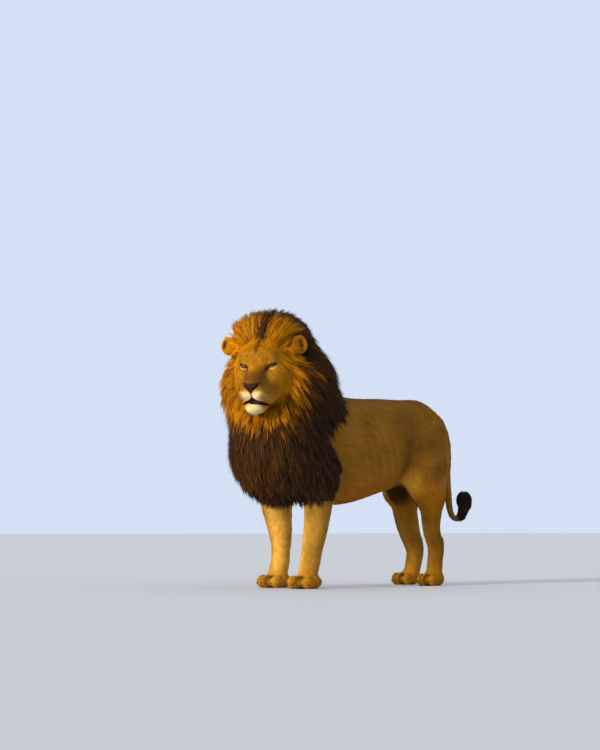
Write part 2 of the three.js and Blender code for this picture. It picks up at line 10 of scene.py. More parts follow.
import bmesh
import bpy
import numpy as np
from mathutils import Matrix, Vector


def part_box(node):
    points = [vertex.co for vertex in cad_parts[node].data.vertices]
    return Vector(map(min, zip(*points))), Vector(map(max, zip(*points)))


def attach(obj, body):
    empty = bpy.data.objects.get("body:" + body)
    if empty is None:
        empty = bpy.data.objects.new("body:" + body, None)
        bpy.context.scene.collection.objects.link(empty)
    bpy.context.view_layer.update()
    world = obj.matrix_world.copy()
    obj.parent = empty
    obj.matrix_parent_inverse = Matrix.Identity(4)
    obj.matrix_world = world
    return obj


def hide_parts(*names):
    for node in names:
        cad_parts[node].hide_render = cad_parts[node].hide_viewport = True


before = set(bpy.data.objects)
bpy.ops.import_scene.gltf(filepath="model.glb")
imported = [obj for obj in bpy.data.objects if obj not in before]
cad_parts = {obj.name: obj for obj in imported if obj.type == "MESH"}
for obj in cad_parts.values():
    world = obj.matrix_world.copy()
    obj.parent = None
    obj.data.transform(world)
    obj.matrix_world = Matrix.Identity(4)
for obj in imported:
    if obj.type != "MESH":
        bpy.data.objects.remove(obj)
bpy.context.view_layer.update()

import openvdb
from mathutils import Matrix

MM = 0.001

# ---- driving dimensions, in millimetres

BACK_HEIGHT, BELLY_HEIGHT = 1022, 438
CHEST_HALF_WIDTH = 205
RUMP_REAR = 612
STANCE = 130
FORE_PAW_Y, HIND_PAW_Y = -492, 398
RIGHT_HIND_BACK = 44
ELBOW_HEIGHT, KNEE_HEIGHT, HOCK_HEIGHT = 560, 530, 252
TOES = ((-0.33, 0.12, 0.94), (-0.13, 0.3, 1), (0.13, 0.3, 1), (0.33, 0.1, 0.94))
FORE_PAW = {"length": 206, "width": 156}
HIND_PAW = {"length": 178, "width": 124}
PAWS = (
    (1, FORE_PAW_Y, FORE_PAW), (-1, FORE_PAW_Y, FORE_PAW),
    (1, HIND_PAW_Y, HIND_PAW), (-1, HIND_PAW_Y + RIGHT_HIND_BACK, HIND_PAW),
)
EYES_AT = np.array([146.0, -815.0, 1160.0])
HEAD_YAW, HEAD_PITCH = 37, 11
EYE_SPACING, EYE_RADIUS = 150, 19
TAIL_POINTS = (
    (0, 560, 905), (0, 608, 850), (0, 632, 752), (0, 632, 640), (0, 644, 530), (0, 661, 430),
    (0, 677, 390), (0, 706, 371), (0, 738, 374), (0, 760, 396), (0, 770, 430), (0, 774, 470), (0, 774, 516),
)
SIDES = (1, -1)  # the lion's left and right

# ---- frames

# the planar cuts between the solids give the move from the modelling frame to the row frame
HALF_GAP = 0.3
SHIFT = np.array([
    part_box("shoulder_left")[0][0] - (98 + HALF_GAP) * MM,
    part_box("belly")[0][1] + (130 - HALF_GAP) * MM,
    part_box("forepaw_left")[0][2] - HALF_GAP * MM,
])


def to_row(points):
    return points * MM + SHIFT


def turn(axis, degrees):
    """The matrix that turns about an axis, 0 for X and 2 for Z."""
    c, s = math.cos(math.radians(degrees)), math.sin(math.radians(degrees))
    return np.array([[1, 0, 0], [0, c, -s], [0, s, c]] if axis == 0 else [[c, -s, 0], [s, c, 0], [0, 0, 1]])


HEAD_TURN = turn(2, HEAD_YAW) @ turn(0, HEAD_PITCH)


def to_head(p):
    """Points in the head's own frame: +X to its left, -Y out of its face, +Z to its crown."""
    return (p - EYES_AT) @ HEAD_TURN


def from_head(q):
    return np.asarray(q, float) @ HEAD_TURN.T + EYES_AT


# ---- fields
# A field takes points, one a row, and gives numbers that are negative inside its shape.


def unit(v):
    return v / np.maximum(np.linalg.norm(v, axis=-1, keepdims=True), 1e-9)


def smooth(x, low, high):
    """0 below low, 1 above high, and an even slope between them."""
    t = np.clip((x - low) / (high - low), 0, 1)
    return t * t * (3 - 2 * t)


def ripple(p, size, seed):
    """A smooth pattern between about -1 and 1, with features of the given size."""
    draw = np.random.default_rng(seed)
    total = 0
    for _ in range(7):
        way = unit(draw.normal(size=3)) * 2 * np.pi / (size * draw.uniform(0.7, 1.6))
        total = total + np.sin(p @ way + draw.uniform(0, 7))
    return total / 3.2


def patch(p, centre, radii, edge=0.35):
    """1 in the middle of an egg-shaped patch, falling to 0 past its edge."""
    away = np.linalg.norm((p - np.array(centre, float)) / np.array(radii, float), axis=1)
    return 1 - smooth(away, 1 - edge, 1 + edge)


def egg(centre, radii, tilt=0):
    centre, (rx, ry, rz) = np.array(centre, float), radii
    c, s = math.cos(math.radians(tilt)), math.sin(math.radians(tilt))

    def field(p):
        x, y, z = (p - centre).T
        px, py, pz = x / rx, (y * c + z * s) / ry, (z * c - y * s) / rz
        near = np.sqrt(px * px + py * py + pz * pz)
        slope = np.sqrt((px / rx) ** 2 + (py / ry) ** 2 + (pz / rz) ** 2)
        return near * (near - 1) / np.maximum(slope, 1e-9)

    return field


def limb(a, b, ra, rb):
    a, b = np.array(a, float), np.array(b, float)
    run = b - a

    def field(p):
        t = np.clip((p - a) @ run / (run @ run), 0, 1)
        return np.linalg.norm(p - a - t[:, None] * run, axis=1) - (ra + t * (rb - ra))

    return field


def joined(d, e, fillet):
    h = np.maximum(fillet - np.abs(d - e), 0) / fillet
    return np.minimum(d, e) - h * h * fillet / 4


def blend(fillet, *fields):
    def field(p):
        d = fields[0](p)
        for one in fields[1:]:
            d = joined(d, one(p), fillet)
        return d

    return field


def carve(fillet, base, *hollows):
    def field(p):
        d = base(p)
        for hollow in hollows:
            d = -joined(-d, hollow(p), fillet)
        return d

    return field


def in_head(field):
    return lambda p: field(to_head(p))


def halved(p):
    """The columns of points, with both sides folded onto one."""
    return np.abs(p[:, 0]), p[:, 1], p[:, 2]


def gradient(field, p, e=1.0):
    """The field's slope, by the four corners of a small tetrahedron."""
    corners = np.array([[1, -1, -1], [-1, -1, 1], [-1, 1, -1], [1, 1, 1]], float)
    return sum(c * field(p + c * e)[:, None] for c in corners) / (4 * e)


def drawn(field, p, rounds=3):
    """Points moved onto the field's zero surface."""
    for _ in range(rounds):
        g = gradient(field, p)
        p = p - field(p)[:, None] * g / np.maximum((g * g).sum(1, keepdims=True), 0.1)
    return p


# ---- the animal's shape


def centripetal(points, steps):
    """A smooth curve through the points, at even steps of its length."""
    p = np.array(points, float)
    p = np.vstack([2 * p[0] - p[1], p, 2 * p[-1] - p[-2]])
    fine = []
    for a, b, c, d in zip(p, p[1:], p[2:], p[3:]):
        knots = np.cumsum([0, *(np.linalg.norm(v - u) ** 0.5 for u, v in ((a, b), (b, c), (c, d)))])
        t = np.linspace(knots[1], knots[2], 24, endpoint=False)[:, None]

        def between(u, v, start, end):
            return ((knots[end] - t) * u + (t - knots[start]) * v) / (knots[end] - knots[start])

        ab, bc, cd = between(a, b, 0, 1), between(b, c, 1, 2), between(c, d, 2, 3)
        fine.append(between(between(ab, bc, 0, 2), between(bc, cd, 1, 3), 1, 2))
    fine = np.vstack([*fine, p[-2:-1]])
    run = np.concatenate([[0], np.cumsum(np.linalg.norm(np.diff(fine, axis=0), axis=1))])
    at = np.linspace(0, run[-1], steps + 1)
    return np.stack([np.interp(at, run, column) for column in fine.T], 1)


def tube(path, radii):
    """A chain of tapered limbs, one for each step of a path."""
    return blend(3, *(limb(a, b, ra, rb) for a, b, ra, rb in zip(path, path[1:], radii, radii[1:])))


def leg(stations):
    """A limb through stations, each its place and the radius there."""
    curve = centripetal(stations, 3 * (len(stations) - 1))
    return tube(curve[:, :3], curve[:, 3])


CHEST_MIDDLE = (BACK_HEIGHT + BELLY_HEIGHT) / 2
CHEST_DEPTH = (BACK_HEIGHT - BELLY_HEIGHT) / 2
trunk = blend(
    70,
    egg((0, -190, CHEST_MIDDLE + 2), (CHEST_HALF_WIDTH, 400, CHEST_DEPTH), 2),
    egg((0, 110, 766), (188, 320, 250), 11),
    egg((0, RUMP_REAR - 250, 792), (172, 246, 230)),
    egg((0, -420, 690), (165, 180, 190)),
    limb((0, -300, 905), (0, 380, 930), 92, 88),
)


def shoulder(side):
    return blend(
        60,
        egg((side * 118, -330, 800), (82, 150, 225), -22),
        limb((side * 138, -455, 700), (side * 138, -395, ELBOW_HEIGHT), 98, 84),
    )


FORELEGS = {
    1: (
        (140, -402, 560, 86), (139, -408, 470, 82), (138, -412, 416, 77), (136, -417, 362, 72),
        (134, -425, 309, 68), (132, -435, 256, 64), (131, -447, 203, 60), (130, -456, 150, 57),
        (130, -468, 100, 54), (130, -482, 58, 50),
    ),
    -1: (
        (-156, -452, 560, 90), (-153, -462, 480, 92), (-150, -464, 440, 88), (-146, -455, 363, 76),
        (-142, -449, 309, 69), (-138, -445, 255, 61), (-134, -449, 203, 55), (-130, -454, 150, 53),
        (-130, -466, 100, 53), (-130, -482, 58, 50),
    ),
}


def toes_of(side, y, length, width):
    """The middle and size of each toe of a paw."""
    for across, ahead, size in TOES:
        yield np.array([side * STANCE + side * across * width, y - ahead * length, 34 * size]), size


def paw(side, y, length, width):
    toes = [
        egg(at, (width * 0.17 * size, length * 0.21 * size, 38 * size))
        for at, size in toes_of(side, y, length, width)
    ]
    return blend(10, egg((side * STANCE, y + length * 0.1, 36), (width * 0.45, length * 0.38, 46)), *toes)


def thigh(side):
    back = RIGHT_HIND_BACK if side < 0 else 0
    return blend(
        50,
        egg((side * 108, 358 + back / 2, 730), (90, 192, 240), -8),
        limb((side * 116, 366, 640), (side * 126, 346 + back / 2, KNEE_HEIGHT), 112, 82),
        limb((side * 110, 440, 660), (side * 120, 420 + back, 500), 92, 64),
    )


HIND_LEGS = {
    1: (
        (122, 388, 520, 84), (122, 404, 465, 75), (121, 411, 409, 64), (120, 410, 365, 58),
        (119, 418, 298, 52), (118, 434, 253, 50), (117, 446, 222, 50), (117, 448, 186, 48),
        (118, 442, 150, 46), (119, 436, 100, 46), (120, 428, 56, 46),
    ),
    -1: (
        (-122, 408, 510, 84), (-122, 425, 450, 77), (-121, 436, 390, 72), (-120, 447, 345, 69),
        (-119, 460, 300, 64), (-118, 481, 250, 59), (-117, 496, 215, 56), (-117, 500, 180, 52),
        (-118, 494, 140, 49), (-119, 485, 100, 47), (-120, 474, 56, 46),
    ),
}
HEEL = {1: (117, 478, HOCK_HEIGHT - 10), -1: (-116, 524, HOCK_HEIGHT - 10)}


def hind_leg(side):
    return blend(18, leg(HIND_LEGS[side]), egg(HEEL[side], (24, 25, 38)))


TAIL_STEPS = 40
tail_path = centripetal(TAIL_POINTS, TAIL_STEPS)


def tail_radius(t):
    return 40 - 24 * np.minimum(1, t * 1.25)


TAIL_CORE_END = 0.9  # the tail's flesh ends inside its tuft
core = np.concatenate([np.linspace(0, 0.64, 8), np.linspace(0.68, TAIL_CORE_END, 9)])
tail = tube(
    np.stack([np.interp(core, np.linspace(0, 1, TAIL_STEPS + 1), tail_path[:, n]) for n in range(3)], 1),
    np.where(core < 0.12, tail_radius(core) + 4 * (1 - core / 0.12), tail_radius(core)),
)

NECK_BASE, NECK_TOP = (0, -420, 860), (88, -700, 1125)
neck = limb(NECK_BASE, NECK_TOP, 185, 128)


def both(make):
    return [make(side) for side in SIDES]


skull = blend(
    40,
    egg((0, 135, 22), (122, 165, 112)),
    egg((0, 82, -34), (140, 110, 104)),
    egg((0, 40, 52), (88, 78, 46), -18),
    limb((0, 10, 4), (0, -118, -84), 50, 41),
    *both(lambda s: limb((s * 62, 8, 30), (s * 30, -10, 26), 24, 20)),
    *both(lambda s: egg((s * 66, 8, -78), (58, 70, 62))),
)
muzzle = blend(
    26,
    limb((0, -60, -82), (0, -130, -100), 60, 42),
    *both(lambda s: egg((s * 37, -108, -124), (43, 60, 46))),
    egg((0, -60, -120), (78, 80, 52)),
)
jaw = blend(
    30,
    egg((0, -96, -200), (54, 50, 40)),
    *both(lambda s: limb((s * 84, 80, -110), (s * 32, -70, -184), 56, 40)),
)
EYE_AT = {s: np.array([s * EYE_SPACING / 2, EYE_RADIUS - 13.0, 0.0]) for s in SIDES}
LID = 2.6  # how thick the eyelids are over the eyeball
head_shape = blend(
    9,
    carve(
        18,
        blend(22, blend(30, skull, muzzle), jaw),
        *both(lambda s: egg((s * (EYE_SPACING / 2 + 2), -26, -4), (26, 20, 15))),
    ),
    *both(lambda s: egg(EYE_AT[s], [EYE_RADIUS + LID + 3] * 3)),
)

EAR_AT = (188, 132, 92)


def ear(side):
    ex, ey, ez = EAR_AT
    cup = egg((side * (ex + 2), ey - 44, ez + 4), (36, 42, 38))
    return blend(
        16,
        carve(10, egg((side * ex, ey, ez), (52, 36, 55)), cup),
        limb((side * 92, ey + 6, ez - 30), (side * (ex - 34), ey + 6, ez - 20), 46, 36),
    )


head = in_head(blend(10, head_shape, *both(ear)))
flesh = blend(
    46,
    blend(60, trunk, blend(40, neck, head), *both(shoulder), *both(thigh), tail),
    *both(lambda s: leg(FORELEGS[s])),
    *both(hind_leg),
)
body = blend(24, flesh, *(paw(side, y, **size) for side, y, size in PAWS))

head_mane = blend(
    70,
    egg((0, 205, 25), (215, 185, 236), -10),
    egg((-4, 158, 104), (188, 122, 160)),
    egg((-14, 165, -130), (246, 160, 190)),
    egg((42, 310, 58), (180, 178, 194), -10),
)
mane = carve(
    45,
    blend(
        90,
        in_head(head_mane),
        limb((30, -505, 1060), (0, -335, 888), 254, 194),
        egg((-10, -640, 960), (238, 190, 190)),
        egg((0, -580, 750), (258, 256, 312)),
        egg((-8, -505, 655), (252, 186, 182)),
        limb((152, -410, 640), (141, -412, 502), 114, 92),
        limb((-158, -455, 640), (-150, -462, 505), 112, 92),
    ),
    in_head(egg((0, -50, -52), (172, 152, 178))),
    *both(lambda s: in_head(egg((s * 204, 52, 92), (86, 92, 72)))),
)

# ---- the skin under the coat

UNDERCOAT = 34  # how far the mane's woolly undercoat lies inside the tips of its locks


def coat_depth(p):
    """How far the skin lies under the tips of the short coat: least on the face, the feet and the tail."""
    q = to_head(p)
    face = smooth(-q[:, 1], -150, -40) * smooth(p[:, 2], 820, 880)
    foot = 1 - smooth(p[:, 2], 60, 260)
    tail_end = smooth(p[:, 1], 600, 640)
    return 6.0 - 3.0 * np.maximum.reduce([face, foot, tail_end])


TUFT_AT, TUFT_RADII = np.array([0.0, 774, 474]), np.array([45.0, 45, 50])
tuft_wool = blend(14, egg(TUFT_AT, (39, 39, 46)), limb((0, 750, 384), (0, 775, 440), 17, 31))


def skin_field(p):
    covered = joined(body(p) + coat_depth(p), mane(p) + UNDERCOAT, 24)
    return joined(covered, tuft_wool(p), 16)


# ---- the face's relief, in the head's frame

GAZE = {s: unit(np.array([s * 0.24, -1.0, 0.06])) for s in SIDES}
EYE_HALF_LENGTH = 19.5
EYE_SLANT = 17  # degrees, the inner corner lower than the outer one


def eye_axes(side):
    """Across the eye towards the temple, up, and out along the gaze."""
    out = GAZE[side]
    across = unit(np.array([side * 1.0, 0, 0]) - side * out[0] * out)
    up = np.cross(out, across) * side
    c, s = math.cos(math.radians(EYE_SLANT)), math.sin(math.radians(EYE_SLANT))
    return np.stack([across * c + up * s, up * c - across * s, out])


def in_eye(q, side):
    """Points of the head's frame in an eye's own axes, from the eyeball's middle."""
    return (q - EYE_AT[side]) @ eye_axes(side).T


def lid_edges(u):
    """The heights of the upper and lower edges of the eye's opening."""
    t = np.clip(np.abs(u) / EYE_HALF_LENGTH, 0, 1)
    upper = 4.9 * (1 - t**2.6) + 0.05 * u
    lower = -4.6 * (1 - t**1.8)
    return upper, lower


def lidded(q):
    """For each eye its side, the points in its axes, and how far they lie past its lids' edges."""
    for side in SIDES:
        u, v, w = in_eye(q, side).T
        upper, lower = lid_edges(u)
        yield side, u, v, w > 0, v - upper, lower - v


def bump(x, width):
    return np.exp(-((x / width) ** 2))


NOSE_TOP, NOSE_FOOT, LIP_TOP = -76, -121, -143
UPPER_LIP = ((0, 8, 15, 28, 40, 60, 72), (LIP_TOP, -150, -156, -164, -172, -184, -197))
LOWER_LIP = ((0, 28, 46, 60, 72), (-181, -182, -189, -194, -198))


def mouth(q):
    """How far inside the slightly open mouth a point is: it gapes a little more on the lion's left."""
    x, y, z = halved(q)
    upper, lower = np.interp(x, *UPPER_LIP), np.interp(x, *LOWER_LIP)
    lower = lower + (upper - lower) * 0.35 * smooth(-q[:, 0], 5, 25)
    inside = np.minimum(upper - z, z - lower)
    return np.where((y < -45) & (x < 74), inside, -30)


def near_path(q, path):
    """The distance to a path of points."""
    best = np.full(len(q), 1e9)
    for a, b in zip(path, path[1:]):
        t = np.clip((q - a) @ (b - a) / ((b - a) @ (b - a)), 0, 1)
        best = np.minimum(best, np.linalg.norm(q - a - t[:, None] * (b - a), axis=1))
    return best


def nose_leather(q):
    """1 on the nose leather, which is wide at its top and narrows to the cleft of the lip."""
    x, y, z = halved(q)
    down = np.clip((NOSE_TOP - z) / (NOSE_TOP - NOSE_FOOT), 0, 1)
    half_width = 42 * (1 - down**0.85) + 5
    top = NOSE_TOP + 3 + 3 * bump(x - 30, 12)
    above_foot = smooth(z, NOSE_FOOT - 4, NOSE_FOOT)
    return smooth(half_width - x, -1.5, 2) * smooth(top - z, -2, 2) * above_foot * (y < -110)


def nostril(q):
    """1 in a nostril: a slot that runs from the middle of the leather out and up."""
    deep = 0
    for s in SIDES:
        path = np.array([[s * 9, 0, -99], [s * 18, 0, -100], [s * 27, 0, -93], [s * 35, 0, -85]], float)
        away = near_path(q * [1, 0, 1], path)
        deep = np.maximum(deep, 1 - smooth(away, 2.0, 5.5))
    return deep * (q[:, 1] < -110)


def whisker_roots(side):
    """The rows of spots on the upper lip where the whiskers grow."""
    for row in range(4):
        for n in range(5 - row % 2):
            yield np.array([side * (25 + 11 * n + 2 * row), 0, -122 - 9.5 * row - 2.0 * n])


def whisker_spots(q):
    marks = 0
    for s in SIDES:
        for at in whisker_roots(s):
            marks = np.maximum(marks, bump(np.linalg.norm((q - at) * [1, 0, 1], axis=1), 2.4))
    return marks * (q[:, 1] < -50)


TEAR = np.array([[53, 0, -9], [46, 0, -26], [45, 0, -50]], float)  # the stripe from the eye's inner corner


def face_relief(q):
    """How far points of the face stand out along their normals, and how far they move in the head's axes."""
    x, y, z = halved(q)
    front = y < -50
    out = 2.0 * nose_leather(q) - 12 * nostril(q)
    out = out - 3.4 * bump(x, 2.8) * (z < NOSE_TOP - 24) * (z > LIP_TOP - 6) * front
    pads = bump(np.hypot((x - 30) / 26, (z + 142) / 17), 1.0)
    out = out + 3.5 * pads * front * (mouth(q) < 0)
    gape = mouth(q)
    out = out - 4 * smooth(gape, -1, 3) + 2.2 * bump(gape + 6, 4) * front
    out = out - 0.8 * whisker_spots(q)
    move = np.zeros_like(q)
    move[:, 1] += 15 * smooth(gape, -0.5, 3.5) * (1 - smooth(x, 45, 70))
    for s, u, v, ahead, over, below in lidded(q):
        near = ahead * bump(u, EYE_HALF_LENGTH * 1.3)
        out = out + near * (3.2 * bump(over - 5, 3.6) + 2.0 * bump(3.2 - below, 3))
        out = out - near * (2.0 * bump(over - 12.5, 2.6) + 1.5 * bump(10 - below, 2.8))
        out = out + ahead * (6.5 * bump(u + 2, 24) * bump(v - 20, 7) + 4 * bump(u + 14, 10) * bump(v - 15, 6))
        inside = np.where(ahead, -np.maximum(over, below), -30)
        move = move - GAZE[s] * (9.5 * smooth(inside, -0.4, 1.2))[:, None]
    out = out - 2.2 * bump(x - 12, 5) * bump(z - 34, 20) * (y < 20)
    out = out - 1.6 * bump(x, 7) * bump(z - 62, 40) * (y < 40)
    tear = np.minimum(near_path(q * [1, 0, 1], TEAR), near_path(q * [-1, 0, 1], TEAR))
    out = out - 1.8 * bump(tear, 4.5) * (y < 0)
    out = out + 3.5 * bump(np.hypot(x - 88, z + 42), 26) * (y < 60)
    return out, move


def body_relief(p):
    """The fold in front of each thigh, the hips, the ridge of the back and the muscles."""
    x, y, z = halved(p)
    yz = np.stack([np.zeros(len(p)), y, z], 1)
    outer = smooth(x, 60, 110)
    fold = near_path(yz, np.array([[0, 178, 575], [0, 205, 660], [0, 214, 780]], float))
    out = -7 * bump(fold, 26) * outer
    out = out + 5 * bump(near_path(yz, np.array([[0, 150, 560], [0, 162, 640]], float)), 24) * outer
    hams = near_path(yz, np.array([[0, 470, 860], [0, 462, 720], [0, 440, 600]], float))
    out = out - 4 * bump(hams, 22) * outer * (z > 560)
    out = out + 7 * bump(np.hypot(y - 318, z - 955), 46) * smooth(x, 30, 70)
    out = out + 5 * bump(x, 26) * smooth(z, 900, 980) * (y > -300)
    ribs = np.sin((y + 0.35 * (z - 700)) * 2 * np.pi / 62)
    out = out + 1.3 * ribs * patch(yz, (0, 0, 720), (1, 150, 150), 0.6) * outer
    return out + 2.2 * ripple(p, 230, 17) * smooth(z, 350, 500)


def raised(p):
    """Points of the skin moved out or in by its relief."""
    q = to_head(p)
    normal = unit(gradient(skin_field, p))
    on_face = (q[:, 1] < 90) & (p[:, 2] > 820)
    out = body_relief(p) * (1 - smooth(-mane(p), -30, 10)) * (1 - face_amount(p))
    move = np.zeros_like(p)
    face_out, face_move = face_relief(q[on_face])
    out[on_face] += face_out
    move[on_face] = face_move @ HEAD_TURN.T
    return p + normal * out[:, None] + move


# ---- meshes from fields


def surface_of(field, low, high, step):
    """The field's zero surface as points and triangles, sampled in full only in the blocks it may cross."""
    block = 4
    low = np.array(low, float)
    counts = np.ceil((np.array(high) - low) / (step * block)).astype(int)
    corner = np.stack(np.meshgrid(*(np.arange(n) for n in counts), indexing="ij"), -1).reshape(-1, 3)
    middle = low + (corner * block + (block - 1) / 2) * step
    rough = field(middle)
    reach = step * block * 1.5
    near = np.abs(rough) < reach
    within = np.stack(np.meshgrid(*[np.arange(block)] * 3, indexing="ij"), -1).reshape(-1, 3)
    at = (corner[near][:, None] * block + within).reshape(-1, 3)
    value = np.repeat(np.repeat(np.repeat(rough.reshape(counts), block, 0), block, 1), block, 2)
    value[tuple(at.T)] = np.concatenate([field(low + part * step) for part in np.array_split(at, 8)])
    grid = openvdb.FloatGrid(step * block)
    grid.copyFromArray(value.astype(np.float32))
    points, quads = grid.convertToQuads(0.0)
    points = low + points.astype(float) * step
    triangles = np.concatenate([quads[:, [0, 1, 2]], quads[:, [0, 2, 3]]]).astype(int)
    a, b, c = (points[triangles[:, n]] for n in range(3))
    facing = (np.cross(b - a, c - a) * gradient(field, (a + b + c) / 3)).sum()
    return points, triangles if facing > 0 else triangles[:, ::-1]


def refined(points, triangles, target, field, rounds=4):
    """Splits edges longer than the target at their middles, and puts the new points on the field."""
    for _ in range(rounds):
        edges = np.sort(triangles[:, [[0, 1], [1, 2], [2, 0]]].reshape(-1, 2), axis=1)
        unique, which = np.unique(edges, axis=0, return_inverse=True)
        middle = points[unique].mean(1)
        split = np.linalg.norm(points[unique[:, 0]] - points[unique[:, 1]], axis=1) > 1.35 * target(middle)
        if not split.any():
            break
        new = np.full(len(unique), -1)
        new[split] = len(points) + np.arange(split.sum())
        points = np.vstack([points, drawn(field, middle[split], 2)])
        m = new[which.ravel()].reshape(-1, 3)
        count = (m >= 0).sum(1)
        first = np.where(count == 1, np.argmax(m >= 0, 1), np.where(count == 2, (np.argmin(m, 1) + 1) % 3, 0))
        order = (np.arange(3) + first[:, None]) % 3
        t, m = np.take_along_axis(triangles, order, 1), np.take_along_axis(m, order, 1)
        (a, b, c), (ab, bc, ca) = t.T, m.T
        parts = [t[count == 0]]
        for kind, corners in (
            (1, ((a, ab, c), (ab, b, c))),
            (2, ((ab, b, bc), (a, ab, bc), (a, bc, c))),
            (3, ((a, ab, ca), (ab, b, bc), (ca, bc, c), (ab, bc, ca))),
        ):
            parts += [np.stack(three, 1)[count == kind] for three in corners]
        triangles = np.vstack(parts)
    return points, triangles


def detail(p):
    """The edge length that the skin needs at a point."""
    q = to_head(p)
    length = np.where(p[:, 2] < 100, 7.0, np.where(p[:, 2] < 330, 9.0, 13.5))
    face = (q[:, 1] < 110) & (np.abs(q[:, 0]) < 165) & (q[:, 2] > -275) & (q[:, 2] < 130)
    ears = (np.abs(np.abs(q[:, 0]) - EAR_AT[0]) < 70) & (np.abs(q[:, 2] - EAR_AT[2]) < 75) & (q[:, 1] < 190)
    length = np.where(ears, 6, np.where(face, 5, length))
    fine = (mouth(q) > -9) | ((np.abs(q[:, 0]) < 52) & (q[:, 2] < -66) & (q[:, 2] > -150) & (q[:, 1] < -100))
    for _, u, v, ahead, _, _ in lidded(q):
        fine |= (np.abs(u) < 30) & (np.abs(v) < 19) & ahead
    return np.where(fine, 1.7, np.where((q[:, 1] < -20) & face, 3.6, length))


# ---- markings
# Linear colours, with some painted shade and highlights among the markings. The skin and every lock of the
# coat take theirs from the same functions.

TAWNY = (0.260, 0.106, 0.0080)
BACK_BROWN = (0.140, 0.055, 0.007)
SAND = (0.38, 0.185, 0.022)
PALE_SAND = (0.66, 0.355, 0.055)
AMBER_BELLY = (0.36, 0.125, 0.003)
# painted highlight for the lit front edge of each thigh
LIT_THIGH_EDGE_GOLD = (0.80, 0.36, 0.032)
FACE_GOLD = (0.43, 0.172, 0.004)
BRIDGE_GREY = (0.125, 0.052, 0.006)
CREAM = (0.86, 0.66, 0.31)
# the lips' own dark, also used as painted shade in the mouth's gap and the nostrils
LIP_DARK_AND_SHADE = (0.014, 0.008, 0.007)
TONGUE = (0.10, 0.045, 0.045)
NOSE_DARK = (0.036, 0.0145, 0.006)
RIM_DARK = (0.012, 0.007, 0.005)
MANE_GOLD = (0.50, 0.185, 0.001)
MANE_RUST = (0.30, 0.088, 0.001)
MANE_BROWN = (0.064, 0.026, 0.004)
MANE_BLACK = (0.021, 0.0112, 0.0100)
# painted shade for the ears' hollows
EAR_HOLLOW_SHADE = (0.09, 0.034, 0.003)


def painted(colour, *coats):
    """A colour with others laid over it in turn, each by its weight from 0 to 1."""
    for other, weight in coats:
        colour = colour + (np.array(other) - colour) * np.clip(weight, 0, 1)[:, None]
    return colour


def plain(colour, count):
    return np.tile(np.array(colour), (count, 1))


def xz_patch(q, centre, radii, edge=0.5):
    """A patch on both halves of the face, seen from its front."""
    return patch(np.stack([np.abs(q[:, 0]), q[:, 2]], 1), centre, radii, edge)


def toe_gap_shade(p):
    """1 in the folds between the toes, where shade is painted."""
    dark = 0
    for side, y, size in PAWS:
        ahead = smooth(y - 0.06 * size["length"] - p[:, 1], 0, 30) * (1 - smooth(p[:, 2], 58, 76))
        for across in (-0.23, 0, 0.23):
            dark = np.maximum(dark, bump(p[:, 0] - side * STANCE - across * size["width"], 4.5) * ahead)
    return dark


def body_markings(p):
    x, y, z = halved(p)
    yz = p * [0, 1, 1]
    under = (1 - smooth(z, 480, 620)) * smooth(y, -330, -200) * (1 - smooth(y, 420, 520))
    inner = 1 - smooth(x, STANCE - 25, STANCE + 30)
    fore = (1 - smooth(z, 430, 640)) * (1 - smooth(y, -300, -220))
    hind = (1 - smooth(z, 330, 560)) * smooth(y, 200, 300)
    colour = painted(
        plain(TAWNY, len(p)),
        (BACK_BROWN, 0.3 * smooth(z, 985, 1030) * smooth(y, -350, -100)),
        (AMBER_BELLY, 0.9 * under),
        (SAND, 0.95 * fore),
        (PALE_SAND, 0.9 * fore * inner),
        (SAND, 0.5 * inner * hind),
    )
    colour = colour * (1 - (hind * (1 - inner))[:, None] * [0.40, 0.27, -0.2])
    # painted shadow of the mane on the top of the lion's left foreleg
    colour = colour * (1 - 0.42 * patch(p, (STANCE, -400, 500), (90, 150, 150), 0.7))[:, None]
    outer = smooth(x, 80, 120)
    colour = painted(
        colour,
        # painted highlight on the lit front edge of each thigh, below the fold
        (LIT_THIGH_EDGE_GOLD, 0.9 * patch(yz, (0, 234, 555), (1, 46, 82), 0.7) * smooth(x, 80, 115)),
        (BACK_BROWN, 0.4 * patch(yz, (0, 335, 690), (1, 105, 100), 0.8) * outer),
        # painted shade in the fold in front of each thigh
        (BACK_BROWN, 0.9 * patch(yz, (0, 214, 760), (1, 62, 195), 0.8) * outer),
        (BACK_BROWN, 0.25 * patch(yz, (0, 400, 810), (1, 130, 110), 0.7)),
    )
    # painted shade between the thighs, under the belly
    groin_shade = (1 - smooth(x, 96, 128)) * smooth(y, 150, 230) * (1 - smooth(y, 350, 440))
    groin_shade = groin_shade * smooth(z, 400, 490) * (1 - smooth(z, 620, 660))
    colour = colour * (1 - 0.85 * groin_shade)[:, None]
    colour = painted(colour, (FACE_GOLD, 0.7 * (1 - smooth(z, 40, 150))))
    spots = smooth(ripple(p, 42, 3), 0.35, 0.8) * (1 - smooth(z, 420, 640))
    colour = colour * (1 - 0.14 * spots)[:, None]
    # painted shade in the folds between the toes
    return colour * (1 - 0.75 * toe_gap_shade(p))[:, None]


def tail_markings(colour, p):
    """The tail is tawny, and black from its hook to the tuft."""
    y = p[:, 1]
    on_tail = smooth(y, 612, 632)
    browner = 0.7 * on_tail * smooth(y, 640, 665)
    return painted(colour, (TAWNY, 0.9 * on_tail), (BACK_BROWN, browner), (MANE_BLACK, smooth(y, 694, 728)))


def ear_amount(q):
    """1 on the ears."""
    x, y, z = halved(q)
    return patch(np.stack([x, z], 1), (EAR_AT[0], EAR_AT[2]), (66, 66), 0.15) * smooth(x, 122, 136) * (y > 40)


def ring_amount(q):
    """0 on the short hair of the face, rising to 1 where the mane begins."""
    x, y, z = halved(q)
    side = smooth(y, -12, 95) * smooth(x, 62, 104)
    top = smooth(z + 0.0035 * x**2, 72, 146)
    throat = smooth(-z, 226, 262)
    return np.maximum.reduce([side, top, throat]) * (1 - ear_amount(q))


